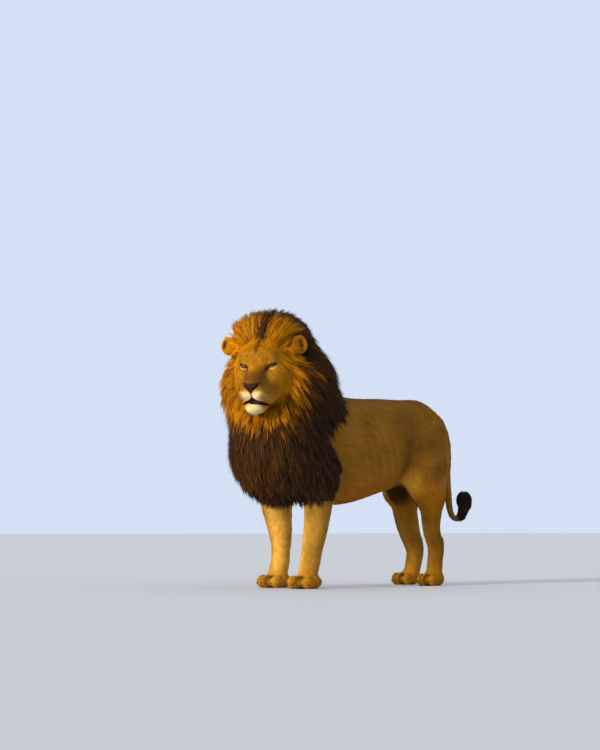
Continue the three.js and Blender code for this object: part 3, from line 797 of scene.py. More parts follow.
def face_markings(q):
    x, y, z = halved(q)
    front = y < 20
    streak = bump(x, 8 + 0.10 * np.maximum(z - 66, 0)) * smooth(z, 60, 84)
    flecks = smooth(ripple(q, 13, 8), 0.1, 0.9) * xz_patch(q, (66, -75), (42, 62), 0.6)
    colour = painted(
        plain(FACE_GOLD, len(q)),
        (BRIDGE_GREY, 0.85 * xz_patch(q, (0, -50), (36, 36)) * front),
        (BRIDGE_GREY, 0.75 * xz_patch(q, (46, -66), (30, 40), 0.6) * front),
        (BRIDGE_GREY, 0.5 * xz_patch(q, (84, -120), (32, 52), 0.6)),
        (TAWNY, 0.45 * xz_patch(q, (0, 52), (95, 44), 0.6) * front),
        (MANE_GOLD, ring_amount(q) * 1.4),
        (CREAM, xz_patch(q, (31, -140), (33, 26), 0.45) * (y < -50)),
        (SAND, 0.7 * xz_patch(q, (62, -150), (22, 26), 0.5) * (y < -30)),
        (CREAM, xz_patch(q, (0, -216), (46, 34), 0.25) * (y < 30)),
        (MANE_BROWN, 0.9 * streak),
        (MANE_BROWN, 0.7 * smooth(ripple(q, 10, 5), 0.5, 0.85) * xz_patch(q, (66, 42), (34, 20), 0.4)),
        (MANE_BROWN, 0.4 * smooth(ripple(q, 12, 6), 0.6, 0.9) * xz_patch(q, (30, 60), (40, 30), 0.5)),
        (BRIDGE_GREY, 0.6 * flecks * front),
        # painted shade on the shaded side of the nose bridge, the lion's left only
        (BRIDGE_GREY, 0.55 * patch(q * [1, 0, 1], (30, 0, -38), (26, 1, 44), 0.6) * front),
        (MANE_BROWN, 0.7 * whisker_spots(q)),
    )
    for s, u, v, ahead, over, below in lidded(q):
        cream = smooth(below, 3.5, 5.5) * (1 - smooth(below, 9, 15)) * (1 - smooth(np.abs(u - 2), 15, 24))
        brow = smooth(over, 12, 15) * (1 - smooth(over, 17, 24)) * (1 - smooth(np.abs(u - 3), 12, 24))
        rim = (1 - smooth(over, 5.5, 10)) * (v > 0) + (1 - smooth(below, 2.2, 4.2)) * (v <= 0)
        tear = near_path(q * [1, 0, 1], TEAR * [s, 1, 1])
        colour = painted(
            colour,
            (CREAM, 0.65 * cream * ahead),
            (SAND, 0.6 * brow * ahead),
            (RIM_DARK, rim * (1 - smooth(np.abs(u + 1), 24, 29)) * ahead),
            (BRIDGE_GREY, 0.8 * (1 - smooth(tear, 4, 18)) * (y < 0)),
            (RIM_DARK, 0.8 * (1 - smooth(tear - (z + 9) * 0.22, 1.5, 8)) * (y < 0)),
        )
    inside = mouth(q)
    cleft = (1 - smooth(x, 1.4, 3.8)) * smooth(-z, 112, 120) * (1 - smooth(-z, 146, 152)) * (y < -100)
    return painted(
        colour,
        (LIP_DARK_AND_SHADE, cleft),
        # the lips' own dark edge, and painted shade in the open gap of the mouth
        (LIP_DARK_AND_SHADE, smooth(inside, -4.5, -2.0)),
        (TONGUE, smooth(inside, 1.5, 4) * smooth(-z, 158, 168) * (1 - smooth(np.abs(q[:, 0] + 6), 26, 38))),
        (NOSE_DARK, nose_leather(q)),
        # painted shade in the nostrils
        (LIP_DARK_AND_SHADE, nostril(q)),
    )


def ear_markings(colour, q):
    """Golden fronts, the lit right ear painted lighter and the shaded left ear darker, painted shade in the
    hollows, and the black patch on the back of each ear.
    """
    x, y, z = halved(q)
    on = ear_amount(q)
    inside = patch(np.stack([x, y, z], 1), (EAR_AT[0] + 4, 108, EAR_AT[2] + 2), (36, 36, 38), 0.3)
    return painted(
        colour,
        # the lit right ear painted lighter and the shaded left ear painted darker
        (np.array(MANE_GOLD) * 1.35, on * (q[:, 0] < 0)),
        (np.array(MANE_GOLD) * 0.8, on * (q[:, 0] > 0)),
        # painted shade in each ear's hollow
        (EAR_HOLLOW_SHADE, 0.9 * inside * on),
        (MANE_BLACK, 0.9 * on * smooth(y, 146, 158)),
    )


gold_zone = blend(
    50,
    egg((-18, -10, -5), (228, 150, 222)),
    egg((-6, 80, 150), (180, 110, 112)),
    egg((-45, 30, -120), (190, 150, 112)),
    egg((-190, 110, 0), (70, 90, 110)),
)


def mane_weights(p, jitter=0.0):
    """How golden and how brown the mane is at a place; the rest is black."""
    zone = gold_zone(to_head(p)) + jitter
    gold = 1 - smooth(zone, -22, 34)
    centre = patch(p, (60, -770, 720), (190, 260, 250), 0.5)
    brown = np.maximum.reduce([1 - smooth(zone, 10, 170), 0.75 * centre, np.full(len(p), 0.3)])
    return gold, brown


def near_ear(q):
    """1 in front of the ears, where no long hair falls."""
    return patch(np.stack(halved(q), 1), (EAR_AT[0] + 8, 92, EAR_AT[2]), (58, 62, 66), 0.3)


def streak_amount(q):
    """1 in the dark streak that runs back over the crown from the forehead."""
    across = q[:, 0] - 0.14 * np.maximum(q[:, 2] - 60, 0)
    return bump(across, 9 + 0.22 * np.maximum(q[:, 2] - 60, 0)) * smooth(q[:, 2], 60, 90) * (q[:, 1] < 190)


def mane_undercoat(p):
    """The colour of the wool under the mane's locks."""
    gold, brown = mane_weights(p)
    wool = painted(plain(MANE_BLACK, len(p)), (MANE_BROWN, 0.6 * brown), (MANE_GOLD, gold))
    return 0.8 * painted(wool, (MANE_BLACK, 0.85 * streak_amount(to_head(p))))


def mane_tints(p, clump, draw):
    """The colour of each lock of the mane from its root: gold, brown or black by chance where they meet."""
    q = to_head(p)
    count = len(p)
    gold, brown = mane_weights(p, draw.normal(0, 20, clump.max() + 1)[clump] + draw.normal(0, 10, count))
    chance = draw.uniform(size=count)
    base = np.where((chance < 0.10 + 0.75 * brown)[:, None], np.array(MANE_BROWN), np.array(MANE_BLACK))
    rust = smooth(ripple(p, 70, 13), -0.2, 1.0) * 0.6 + 0.25 * draw.uniform(size=count)
    bright = painted(plain(MANE_GOLD, count), (MANE_RUST, rust))
    weight = smooth(gold + draw.uniform(-0.3, 0.3, count), 0.15, 0.85)[:, None]
    colour = base + (bright - base) * weight
    lit = (draw.uniform(size=count) < (0.03 + 0.13 * brown) * (1 - gold))[:, None]
    colour = np.where(lit, np.array(MANE_RUST) * 0.32, colour)
    dark = draw.uniform(size=count) < 0.85 * streak_amount(q)
    colour = np.where(dark[:, None], (np.array(MANE_BLACK) + np.array(MANE_BROWN)) / 2, colour)
    shade = draw.normal(1, 0.13, clump.max() + 1)[clump] * draw.normal(1, 0.13, count)
    return colour * np.clip(shade, 0.5, 1.6)[:, None]


def head_amount(p):
    """1 on the head, falling to 0 behind it."""
    return smooth(-to_head(p)[:, 1], -190, -120) * smooth(p[:, 2], 820, 880)


def face_amount(p):
    """1 where the coat is the short hair of the face and ears."""
    q = to_head(p)
    return np.maximum(smooth(-q[:, 1], -130, -60), ear_amount(q)) * smooth(p[:, 2], 850, 900)


def markings(p):
    """The coat's colour at points on the skin, with its painted shade and highlights."""
    q = to_head(p)
    on_head = head_amount(p)[:, None]
    colour = tail_markings(body_markings(p), p)
    colour = colour * (1 - on_head) + ear_markings(face_markings(q), q) * on_head
    under_mane = smooth(-mane(p), 4, 18)
    colour = colour * (1 - under_mane)[:, None] + mane_undercoat(p) * under_mane[:, None]
    return colour * (1 + 0.09 * ripple(p, 120, 1) + 0.08 * ripple(p, 28, 2))[:, None]


# ---- the lie of the hair


def lie_from(guides):
    """A field of directions from guides, each a place, a direction and how far it reaches."""
    at = np.array([g[0] for g in guides], float)
    way = unit(np.array([g[1] for g in guides], float))
    reach = np.array([g[2] for g in guides], float)

    def lie(p):
        away = np.linalg.norm(p[:, None] - at, axis=2) / reach
        weight = np.exp(-away * away) + 1e-6 / (1 + away**2)
        return unit(weight @ way)

    return lie


def mirrored(guides):
    for at, way, reach in guides:
        yield at, way, reach
        if at[0]:
            yield (-at[0], *at[1:]), (-way[0], *way[1:]), reach


body_lie = lie_from(list(mirrored([
    ((0, -200, 1000), (0, 1, -0.05), 200),
    ((0, 300, 1010), (0, 1, -0.1), 200),
    ((0, 560, 930), (0, 0.6, -0.8), 90),
    ((200, -250, 850), (0, 0.75, -0.6), 140),
    ((200, 0, 800), (0, 0.95, -0.3), 160),
    ((190, 150, 800), (0, 0.9, -0.4), 130),
    ((190, 350, 850), (0, 0.75, -0.7), 130),
    ((160, 560, 780), (0, 0.35, -1), 130),
    ((180, 330, 640), (0, 0.3, -1), 130),
    ((130, 400, 450), (0, 0.15, -1), 120),
    ((0, 0, 450), (0, 1, 0.1), 140),
    ((100, -150, 480), (0, 0.9, -0.2), 110),
    ((200, -420, 700), (0, 0.3, -1), 140),
    ((140, -430, 420), (0, 0.1, -1), 130),
    ((130, -470, 200), (0, 0.02, -1), 110),
    ((130, -560, 40), (0, -0.9, -0.35), 60),
    ((120, 460, 200), (0, 0, -1), 100),
    ((120, 340, 40), (0, -0.9, -0.35), 60),
    ((0, -640, 600), (0, 0.1, -1), 160),
])))


def coat_lie(p):
    """The lie of the short coat: away from the nose on the head, along the tail, by the guides elsewhere."""
    q = to_head(p)
    way = body_lie(p)
    from_nose = q - [0, -205, -100]
    from_nose = unit(from_nose + [0, 0, 30] * (q[:, 2:3] > -60)) @ HEAD_TURN.T
    on_head = head_amount(p)[:, None]
    way = way * (1 - on_head) + from_nose * on_head
    away = np.linalg.norm(p[:, None] - tail_path, axis=2)
    nearest = np.argmin(away, 1)
    along = unit(np.gradient(tail_path, axis=0))[nearest]
    on_tail = (1 - smooth(away.min(1), 45, 80))[:, None]
    return unit(way * (1 - on_tail) + along * on_tail)


def head_guide(at, way, reach):
    return tuple(from_head(at)), tuple(HEAD_TURN @ np.array(way, float)), reach


mane_lie = lie_from([
    *(head_guide(*g) for g in mirrored([
        ((0, 20, 130), (0.10, 0.25, 1), 70),
        ((0, 90, 250), (0.25, 0.75, 0.75), 90),
        ((90, 60, 170), (0.35, 0.4, 0.9), 80),
        ((150, 120, 200), (0.55, 0.75, 0.35), 90),
        ((0, 250, 260), (0.1, 1, -0.05), 110),
        ((0, 400, 120), (0.05, 0.55, -0.85), 130),
        ((190, 370, 40), (0.1, 0.5, -0.85), 110),
        ((170, 40, 40), (0.6, 0.45, -0.55), 70),
        ((160, 0, -60), (0.45, 0.35, -0.85), 80),
        ((140, -20, -160), (0.4, 0.25, -0.9), 80),
        ((70, -60, -260), (0.2, 0.1, -1), 80),
        ((0, -80, -280), (0, 0, -1), 80),
        ((230, 160, 40), (0.25, 0.75, -0.6), 90),
        ((230, 170, -120), (0.25, 0.65, -0.75), 100),
    ])),
    *mirrored([
        ((0, -330, 1250), (0, 0.95, -0.35), 130),
        ((0, -120, 1080), (0, 0.95, -0.4), 120),
        ((220, -350, 1050), (0.05, 0.75, -0.65), 130),
        ((250, -550, 950), (0.1, 0.5, -0.85), 130),
        ((240, -350, 800), (0, 0.45, -0.9), 140),
        ((200, -300, 600), (0, 0.4, -0.95), 120),
        ((260, -600, 750), (0.05, 0.2, -1), 130),
        ((0, -840, 800), (0, 0.05, -1), 140),
        ((0, -750, 560), (0, 0.25, -1), 130),
        ((0, -480, 440), (0, 0.35, -0.95), 140),
        ((150, -500, 480), (0, 0.25, -1), 120),
    ]),
])

# ---- mesh objects


def linked(name, data):
    """A new object in the scene."""
    made = bpy.data.objects.new(name, data)
    bpy.context.collection.objects.link(made)
    return made


def mesh_object(name, points, triangles, colours, material):
    """A smooth mesh in the row frame with its colours in an attribute."""
    mesh = bpy.data.meshes.new(name)
    mesh.vertices.add(len(points))
    mesh.vertices.foreach_set("co", to_row(points).astype(np.float32).ravel())
    mesh.loops.add(triangles.size)
    mesh.loops.foreach_set("vertex_index", triangles.astype(np.int32).ravel())
    mesh.polygons.add(len(triangles))
    mesh.polygons.foreach_set("loop_start", np.arange(0, triangles.size, 3, dtype=np.int32))
    mesh.update(calc_edges=True)
    shade = mesh.attributes.new("Colour", "FLOAT_COLOR", "POINT")
    rgba = np.column_stack([np.clip(colours, 0, 1), np.ones(len(points))])
    shade.data.foreach_set("color", rgba.astype(np.float32).ravel())
    mesh.polygons.foreach_set("use_smooth", np.ones(len(triangles), bool))
    mesh.materials.append(material)
    return linked(name, mesh)


def put(made, slot, *nodes):
    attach(made, "root")
    if nodes:
        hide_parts(*nodes)


# ---- locks of hair
# A lock is a closed, tapered prism of three sides round a centre line, with its ridge outwards.


def lock_faces(rings):
    """The triangles of one lock, and the place of each corner in its patch of the colour map."""
    tip = rings * 3
    faces = []
    for a in range(tip - 3):
        b = a + 1 - 3 * (a % 3 == 2)
        faces += [(a, b + 3, b), (a, a + 3, b + 3)]
    faces += [(tip - 3 + (n + 1) % 3, tip - 3 + n, tip) for n in range(3)]
    faces.append((0, 1, 2))
    places = [((0, 1, 0.5)[corner % 3], corner // 3 / rings) for corner in range(tip)] + [(0.5, 1)]
    spots = np.array([[places[corner] for corner in face] for face in faces], float)
    spots[-1, 2] = (0.5, 0.1)  # the root's own triangle is opened a little, so that it has an area
    return np.array(faces), spots


PATCH = 0.003  # the side of a lock's patch of the colour map


def apart(spots):
    """Places on the unwrap in the order given, but spread evenly over the square so that no patches meet."""
    count = len(spots)
    columns = max(1, int(count**0.5))
    order = np.argsort(spots[:, 0], kind="stable")
    even = np.empty((count, 2))
    for n, members in enumerate(np.array_split(order, columns)):
        members = members[np.argsort(spots[members, 1], kind="stable")]
        even[members, 0] = (n + 0.5) / columns
        even[members, 1] = (np.arange(len(members)) + 0.5) / len(members)
    return even


def unwrapped(p):
    """The skin's own unwrap: the angle round the body, and the place along its length."""
    x, y, z = p.T
    return np.stack([np.arctan2(x, z - 700) / (2 * np.pi) + 0.5, y], 1)


def locks(name, lines, widths, ups, colours, material, thickness=0.45, softness=0.5):
    """One object of locks, from their lines, the widths of their rings, their outward directions and colours.

    Softness is how far they take the light as the surface they lie on does, and not by their own form.
    """
    count, length, _ = lines.shape
    rings = length - 1
    tangent = unit(np.gradient(lines, axis=1))[:, :rings]
    side = unit(np.cross(tangent, ups[:, None]))
    up = np.cross(side, tangent)
    half = widths[:, :, None] / 2
    core = lines[:, :rings]
    ring = np.stack([core - side * half, core + side * half, core + up * half * 2 * thickness], 2)
    points = np.concatenate([ring.reshape(count, rings * 3, 3), lines[:, rings:]], 1)
    tint = np.concatenate([np.repeat(colours[:, :rings], 3, axis=1), colours[:, rings:]], 1)
    faces, corners = lock_faces(rings)
    each = rings * 3 + 1
    triangles = (np.arange(count)[:, None, None] * each + faces).reshape(-1, 3)
    made = mesh_object(name, points.reshape(-1, 3), triangles, tint.reshape(-1, 3), material)
    own = np.stack([up * 0.2 - side, up * 0.2 + side, up], 2).reshape(count, rings * 3, 3)
    own = np.concatenate([own, up[:, -1:]], 1)
    soft = unit(own * (1 - softness) + ups[:, None] * softness)
    made.data.normals_split_custom_set_from_vertices(soft.reshape(-1, 3).astype(np.float32))
    centre = apart(unwrapped(lines[:, 0]))
    uv = centre[:, None, None] + (corners - 0.5) * PATCH
    layer = made.data.uv_layers.new(name="OFBake", do_init=False)
    layer.uv.foreach_set("vector", uv.astype(np.float32).ravel())
    return made


def scattered(points, triangles, density, count, draw):
    """Random places on a mesh, where density is the relative number for each triangle's area."""
    a, b, c = (points[triangles[:, n]] for n in range(3))
    area = np.linalg.norm(np.cross(b - a, c - a), axis=1) / 2 * density((a + b + c) / 3)
    share = np.cumsum(area) / area.sum()
    even = (np.arange(count) + draw.uniform(size=count)) / count
    pick = np.searchsorted(share, even).clip(0, len(triangles) - 1)
    u, v = draw.uniform(size=(2, count))
    flip = u + v > 1
    u, v = np.where(flip, 1 - u, u)[:, None], np.where(flip, 1 - v, v)[:, None]
    return a[pick] + u * (b[pick] - a[pick]) + v * (c[pick] - a[pick])


def tufts(name, roots, lengths, widths, lift, draw):
    """Short tufts that lie along the skin: three points each, the tip raised by lift."""
    normals = unit(gradient(skin_field, roots))
    ways, tints = coat_lie(roots), markings(roots)
    roots = raised(roots)
    tangent = unit(ways - (ways * normals).sum(1, keepdims=True) * normals)
    side = np.cross(normals, tangent)
    tangent = unit(tangent + side * draw.normal(0, 0.13, (len(roots), 1)))
    run, rise = lengths[:, None] * tangent, lift[:, None] * normals
    middle = roots + 0.5 * run + 0.8 * rise - normals * 0.1
    lines = np.stack([roots - normals * 0.9, middle, roots + run + rise], 1)
    shade = 1 + draw.normal(0, 0.06, (len(roots), 1))
    tints = np.stack([tints * shade * f for f in (0.96, 1.0, 1.04)], 1)
    widths = widths[:, None] * np.array([0.85, 1.0])
    put(locks(name, lines, widths, normals, tints, coat_material, 0.28, 0.82), "short_coat")


FREE_REACH = 14  # how far a lock's free tip may hang off the surface that it follows
CLEARANCE = 2.5  # how far long hair stays off the skin


def flowing(p, lengths, level, field, lie, steps=10):
    """Centre lines that follow the lie over a field at the level wanted, and hang free at their tips."""
    lines = [p]
    for k in range(1, steps + 1):
        s = k / steps
        n = unit(gradient(field, p))
        way = lie(p)
        flat = unit(way - (way * n).sum(1, keepdims=True) * n)
        free = 0.8 * smooth(s, 0.55, 1.0)
        past = field(p) - level(s)
        pull = -0.6 * past * np.where(past > 0, 1 - 0.6 * free, 1) - 0.5 * np.maximum(past - FREE_REACH, 0)
        p = p + unit(flat * (1 - free) + way * free) * (lengths / steps)[:, None] + n * pull[:, None]
        sunk = skin_field(p) < CLEARANCE
        p[sunk] += (CLEARANCE - skin_field(p[sunk]))[:, None] * unit(gradient(skin_field, p[sunk]))
        lines.append(p.copy())
    return np.stack(lines, 1)


def strands(guides, ups, each, radius, draw, points=5, gather=0.58, wave=4.0, loose=5.0):
    """Strands about each guide: they start spread over a radius and gather towards its tip, a few loose."""
    steps = guides.shape[1] - 1
    owner = np.repeat(np.arange(len(guides)), each)
    count = len(owner)
    at = np.linspace(0, 1, points)[None] * draw.uniform(0.7, 1.0, count)[:, None] * steps
    index = np.minimum(at.astype(int), steps - 1)
    part = (at - index)[:, :, None]
    lines = guides[owner[:, None], index] * (1 - part) + guides[owner[:, None], index + 1] * part
    tangent = unit(np.gradient(lines, axis=1))
    up = np.repeat(ups[owner][:, None], points, 1)
    side = unit(np.cross(tangent, up))
    angle = draw.uniform(0, 2 * np.pi, count)
    reach = np.sqrt(draw.uniform(size=count)) * radius[owner]
    s = np.linspace(0, 1, points)[None, :, None]
    spread = 1 - gather * s**1.2
    bend = draw.normal(0, 1, (count, 1, 1)) * np.sin(np.pi * s * draw.uniform(1, 2.2, (count, 1, 1))) * wave
    lines = lines + side * ((np.cos(angle) * reach)[:, None, None] * spread + bend)
    lines = lines + up * ((np.sin(angle) * reach * 0.6)[:, None, None] * spread)
    lines = lines + up * draw.exponential(loose, (count, 1, 1)) * s * s
    return lines, up[:, 0], owner


# ---- materials


class Nodes:
    """A material's nodes: each call adds one, set by its inputs, and gives its output."""

    def __init__(self, name):
        self.material = bpy.data.materials.new(name)
        self.material.use_nodes = True
        self.tree = self.material.node_tree
        self.shader = self.tree.nodes["Principled BSDF"]

    def add(self, kind, output, *inputs, **named):
        """The output of a new node. An input is a value or another node's output."""
        node = self.tree.nodes.new(f"ShaderNode{kind}")
        if hasattr(node, "operation"):
            node.operation = named.pop("operation")
        for key, value in [*enumerate(inputs), *named.items()]:
            self.set(node.inputs[key], value)
        return node.outputs[output]

    def set(self, socket, value):
        if isinstance(value, bpy.types.NodeSocket):
            self.tree.links.new(value, socket)
        else:
            socket.default_value = value

    def shade(self, **settings):
        """Sets the shader's own inputs, and gives the finished material."""
        for key, value in settings.items():
            self.set(self.shader.inputs[key.replace("_", " ")], value)
        return self.material

    def streaked(self, colour, noise, contrast):
        """A colour made lighter and darker by a noise."""
        limits = {"From Min": 0.3, "From Max": 0.7, "To Min": 1 - contrast, "To Max": 1 + contrast}
        level = self.add("MapRange", "Result", Value=noise, **limits)
        return self.add("VectorMath", "Vector", colour, operation="SCALE", Scale=level)


def fur_material(name, roughness, grain, stretch, depth, contrast):
    """Hair coloured by the markings, with fine streaks of light and dark along its lie."""
    made = Nodes(name)
    colour = made.add("Attribute", "Color")
    colour.node.attribute_name = "Colour"
    place = made.add("Mapping", "Vector", Vector=made.add("TexCoord", "Object"), Scale=stretch)
    noise = made.add("TexNoise", "Fac", Vector=place, Scale=grain, Detail=3.0, Roughness=0.6)
    relief = made.add("Bump", "Normal", Strength=0.6, Distance=depth, Height=noise)
    streaked = made.streaked(colour, noise, contrast)
    return made.shade(Base_Color=streaked, Normal=relief, Roughness=roughness, Specular_IOR_Level=0.05)


coat_material = fur_material("short_fur", 0.65, 900, (1, 0.35, 0.6), 0.0005, 0.14)
skin_material = fur_material("skin_fur", 0.68, 520, (1, 0.16, 0.5), 0.0008, 0.16)
mane_material = fur_material("mane_hair", 0.5, 700, (1, 0.5, 0.3), 0.0005, 0.18)

# ---- the skin

base_points, base_triangles = surface_of(skin_field, (-330, -940, -24), (430, 840, 1510), 12)
base_points = drawn(skin_field, base_points, 2)
skin_points, skin_triangles = refined(base_points, base_triangles, detail, skin_field)
skin_relief = raised(skin_points)
FLOOR_GAP = 0.4  # the pads rest just above the floor
skin_relief[:, 2] = np.maximum(skin_relief[:, 2], FLOOR_GAP)
skin = mesh_object("skin", skin_relief, skin_triangles, markings(skin_points), skin_material)
put(skin, "short_coat", *(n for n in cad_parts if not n.startswith(("mane", "eye", "tail_tuft"))))

# ---- the short coat

SOLE_THICKNESS = 9


def bare(p):
    """True where no hair grows: the nose, the lips, the eyes and their rims, and the soles."""
    q = to_head(p)
    no_hair = (nose_leather(q) > 0.3) | (mouth(q) > -5)
    for _, u, _, ahead, over, below in lidded(q):
        no_hair |= (over < 5) & (below < 2.5) & (np.abs(u) < 26) & ahead
    no_hair &= face_amount(p) > 0.5
    return no_hair | (p[:, 2] < SOLE_THICKNESS)


def short_density(p):
    covered = smooth(-mane(p), 8, 34)
    return (1 - covered) * (1 - 0.999 * face_amount(p)) * (1 + 0.7 * (p[:, 2] < 330))


BODY_TUFTS = 33000
COAT_BANDS = (-60, 330)  # where the body's three pieces of coat meet, along its length
TUFT_LENGTH, TUFT_WIDTH, FINER, NARROWER = 27, 3.7, 14, 1.3  # and how much smaller they are on feet and tail
PROUD_SHARE, PROUD_LIFT, FLAT_LIFT = 0.2, 0.075, 0.012  # lifts are parts of a tuft's length
draw = np.random.default_rng(21)
roots = scattered(skin_points, skin_triangles, short_density, BODY_TUFTS, draw)
roots = roots[~bare(roots)]
fine = np.maximum(1 - smooth(roots[:, 2], 60, 420), smooth(roots[:, 1], 600, 625))
sizes = (TUFT_LENGTH - FINER * fine) * draw.uniform(0.75, 1.25, len(roots))
wide = (TUFT_WIDTH - NARROWER * fine) * draw.uniform(0.75, 1.25, len(roots))
proud = draw.uniform(size=len(roots)) < PROUD_SHARE
lift = sizes * np.where(proud, PROUD_LIFT, FLAT_LIFT) * draw.uniform(0.5, 1.2, len(roots))
band = np.digitize(roots[:, 1], COAT_BANDS)
for n, part in enumerate(("fore", "middle", "hind")):
    here = band == n
    tufts(f"coat_{part}", roots[here], sizes[here], wide[here], lift[here], draw)

FACE_TUFTS = 18500


def face_density(p):
    q = to_head(p)
    return face_amount(p) * (1 - smooth(-mane(p), 8, 34)) * (1 + 0.7 * (q[:, 1] < -40))


roots = scattered(skin_points, skin_triangles, face_density, FACE_TUFTS, draw)
roots = roots[~bare(roots)]
q = to_head(roots)
ring = ring_amount(q)
chin = smooth(-q[:, 2], 205, 235) * (np.abs(q[:, 0]) < 60)
sizes = (8 + 15 * ring + 12 * chin) * draw.uniform(0.75, 1.25, len(roots)) * (1 - 0.25 * (q[:, 1] < -60))
wide = (1.5 + 0.8 * ring) * draw.uniform(0.8, 1.2, len(roots))
lift = (0.9 + 3.0 * ring + 2.0 * chin) * draw.uniform(0.5, 1, len(roots)) * (1 - 0.6 * ear_amount(q))
tufts("coat_face", roots, sizes, wide, lift, draw)

# ---- the mane

STRAND_SHAPE = np.array([0.75, 1.0, 0.9, 0.6])
mane_points, mane_triangles = surface_of(mane, (-360, -1000, 330), (480, 60, 1520), 18)


def mane_density(p):
    """Where the mane's locks are rooted: outside the flesh, and most round the face."""
    near_face = patch(to_head(p), (0, -40, -40), (215, 190, 230), 0.3)
    return smooth(body(p), -6, 6) * (1 + 0.9 * near_face)


def shades(tints, ups_and_downs):
    """A colour along each strand from its root to its tip."""
    return tints[:, None] * np.array(ups_and_downs)[None, :, None]


CLUMPS = 3000
MANE_LENGTH, RUFF_SHORTER = 180, 80
ROOT_DEPTH, DEEPEST = UNDERCOAT - 3, 24  # how far in the locks are rooted, and the lowest of them lie
HEM_MIDDLE, HEM_SIDES, HEM_RAGGED = 508, 466, 85  # the heights of the mane's lower edge, and its raggedness
HEM_MIDDLE_HALF_WIDTH = 88
CROWN_BASE, NECK_LEVEL = 1060, 780  # the heights where the mane's three parts meet
DARK_SHADES, GOLD_SHADES = (0.5, 0.75, 0.95, 1.1, 1.15), (0.7, 0.85, 1.0, 1.05, 1.05)
MANE_HALF_WIDTH, LOOSE_REACH = 294, 14  # the sides of the mane, and how far loose tips stand out past them
draw = np.random.default_rng(33)
anchors = scattered(mane_points, mane_triangles, mane_density, CLUMPS, draw)
q = to_head(anchors)
ruff = patch(q, (0, -50, -50), (205, 190, 215), 0.25)
depth = draw.uniform(0, 1, CLUMPS) ** 1.3 * DEEPEST
lengths = (MANE_LENGTH - RUFF_SHORTER * ruff) * draw.uniform(0.75, 1.15, CLUMPS)
past = mane(anchors + mane_lie(anchors) * lengths[:, None])
lengths = lengths - np.clip(past - 15, 0, 0.55 * lengths)
hem = np.where(np.abs(anchors[:, 0]) < HEM_MIDDLE_HALF_WIDTH, HEM_MIDDLE, HEM_SIDES)
hem = hem - HEM_RAGGED * draw.uniform(0, 1, CLUMPS) ** 3
lengths = np.minimum(lengths, np.maximum(anchors[:, 2] - hem, 26))
ears = near_ear(to_head(anchors + mane_lie(anchors) * lengths[:, None] * 0.8))
lengths = lengths * (1 - 0.6 * ears)
normals = unit(gradient(mane, anchors))


def mane_level(s):
    """Each clump's level along its length: up from the wool to its own depth, and a little out at its tip."""
    return -depth - (ROOT_DEPTH - depth) * (1 - s) ** 2 + 9 * s * s


guides = flowing(anchors - normals * ROOT_DEPTH, lengths, mane_level, mane, mane_lie)
lines, ups, owner = strands(guides, unit(gradient(mane, guides[:, 3])), 11, 16 - 4 * ruff, draw)
sunk = np.minimum(skin_field(lines.reshape(-1, 3)) - 1, 0).reshape(lines.shape[:2])
lines = lines - ups[:, None] * sunk[:, :, None]
spread = np.maximum(np.abs(lines[:, :, 0]) - MANE_HALF_WIDTH, 0)
spread = spread - LOOSE_REACH * np.tanh(spread / LOOSE_REACH)
lines[:, :, 0] -= np.sign(lines[:, :, 0]) * spread
roots = anchors[owner]
tints = mane_tints(roots, owner, draw)
gold = mane_weights(roots)[0][:, None, None]
colours = shades(tints, DARK_SHADES) * (1 - gold) + shades(tints, GOLD_SHADES) * gold
crown = (gold[:, :, 0] * smooth(to_head(roots)[:, 2], 120, 200)[:, None] * [0, 0, 0.1, 0.45, 0.9])[:, :, None]
colours = colours + (np.array(MANE_BROWN) - colours) * crown
widths = draw.uniform(2.0, 3.6, len(owner))[:, None] * STRAND_SHAPE
rank = np.digitize(roots[:, 2], (NECK_LEVEL, CROWN_BASE))
left = np.where(rank == 2, to_head(roots)[:, 0], roots[:, 0]) > 0
for n, node in enumerate(("mane_chest", "mane_neck", "mane_crown")):
    for name, half in (("left", left), ("right", ~left)):
        here = (rank == n) & half
        parts = (part[here] for part in (lines, widths, ups, colours))
        put(locks(f"{node}_{name}_hair", *parts, mane_material), "mane_gold" if n == 2 else "mane_dark", node)

# ---- the longer hair round the face


def ring_density(p):
    ring = ring_amount(to_head(p))
    return face_amount(p) * smooth(ring, 0.02, 0.35) * (1 - smooth(-mane(p), 20, 50))


RING_CLUMPS = 1100
draw = np.random.default_rng(38)
anchors = scattered(skin_points, skin_triangles, ring_density, RING_CLUMPS, draw)
ring = ring_amount(to_head(anchors))
lengths = (14 + 84 * ring) * draw.uniform(0.75, 1.2, RING_CLUMPS)
ears = near_ear(to_head(anchors + mane_lie(anchors) * lengths[:, None] * 0.8))
lengths = lengths * (1 - 0.7 * ears)
rise = (0.05 + 0.25 * ring) * lengths
guides = flowing(anchors, lengths, lambda s: CLEARANCE + rise * s, skin_field, mane_lie)
normals = unit(gradient(skin_field, anchors))
lines, ups, owner = strands(guides, normals, 8, 9 + 4 * ring, draw, wave=2.0, loose=2.0)
roots = anchors[owner]
tints = mane_tints(roots, owner, draw)
pale = (1 - smooth(ring[owner], 0.1, 0.7))[:, None]
tints = tints * (1 - pale) + markings(roots) * pale
colours = shades(tints, (1.05, 1.15, 1.25, 1.3, 1.35))
widths = (1.6 + 1.1 * ring[owner])[:, None] * draw.uniform(0.8, 1.2, (len(owner), 1)) * STRAND_SHAPE
put(locks("face_ring_hair", lines, widths, ups, colours, mane_material), "mane_gold", "mane_crown")

# ---- the long hair in the ears

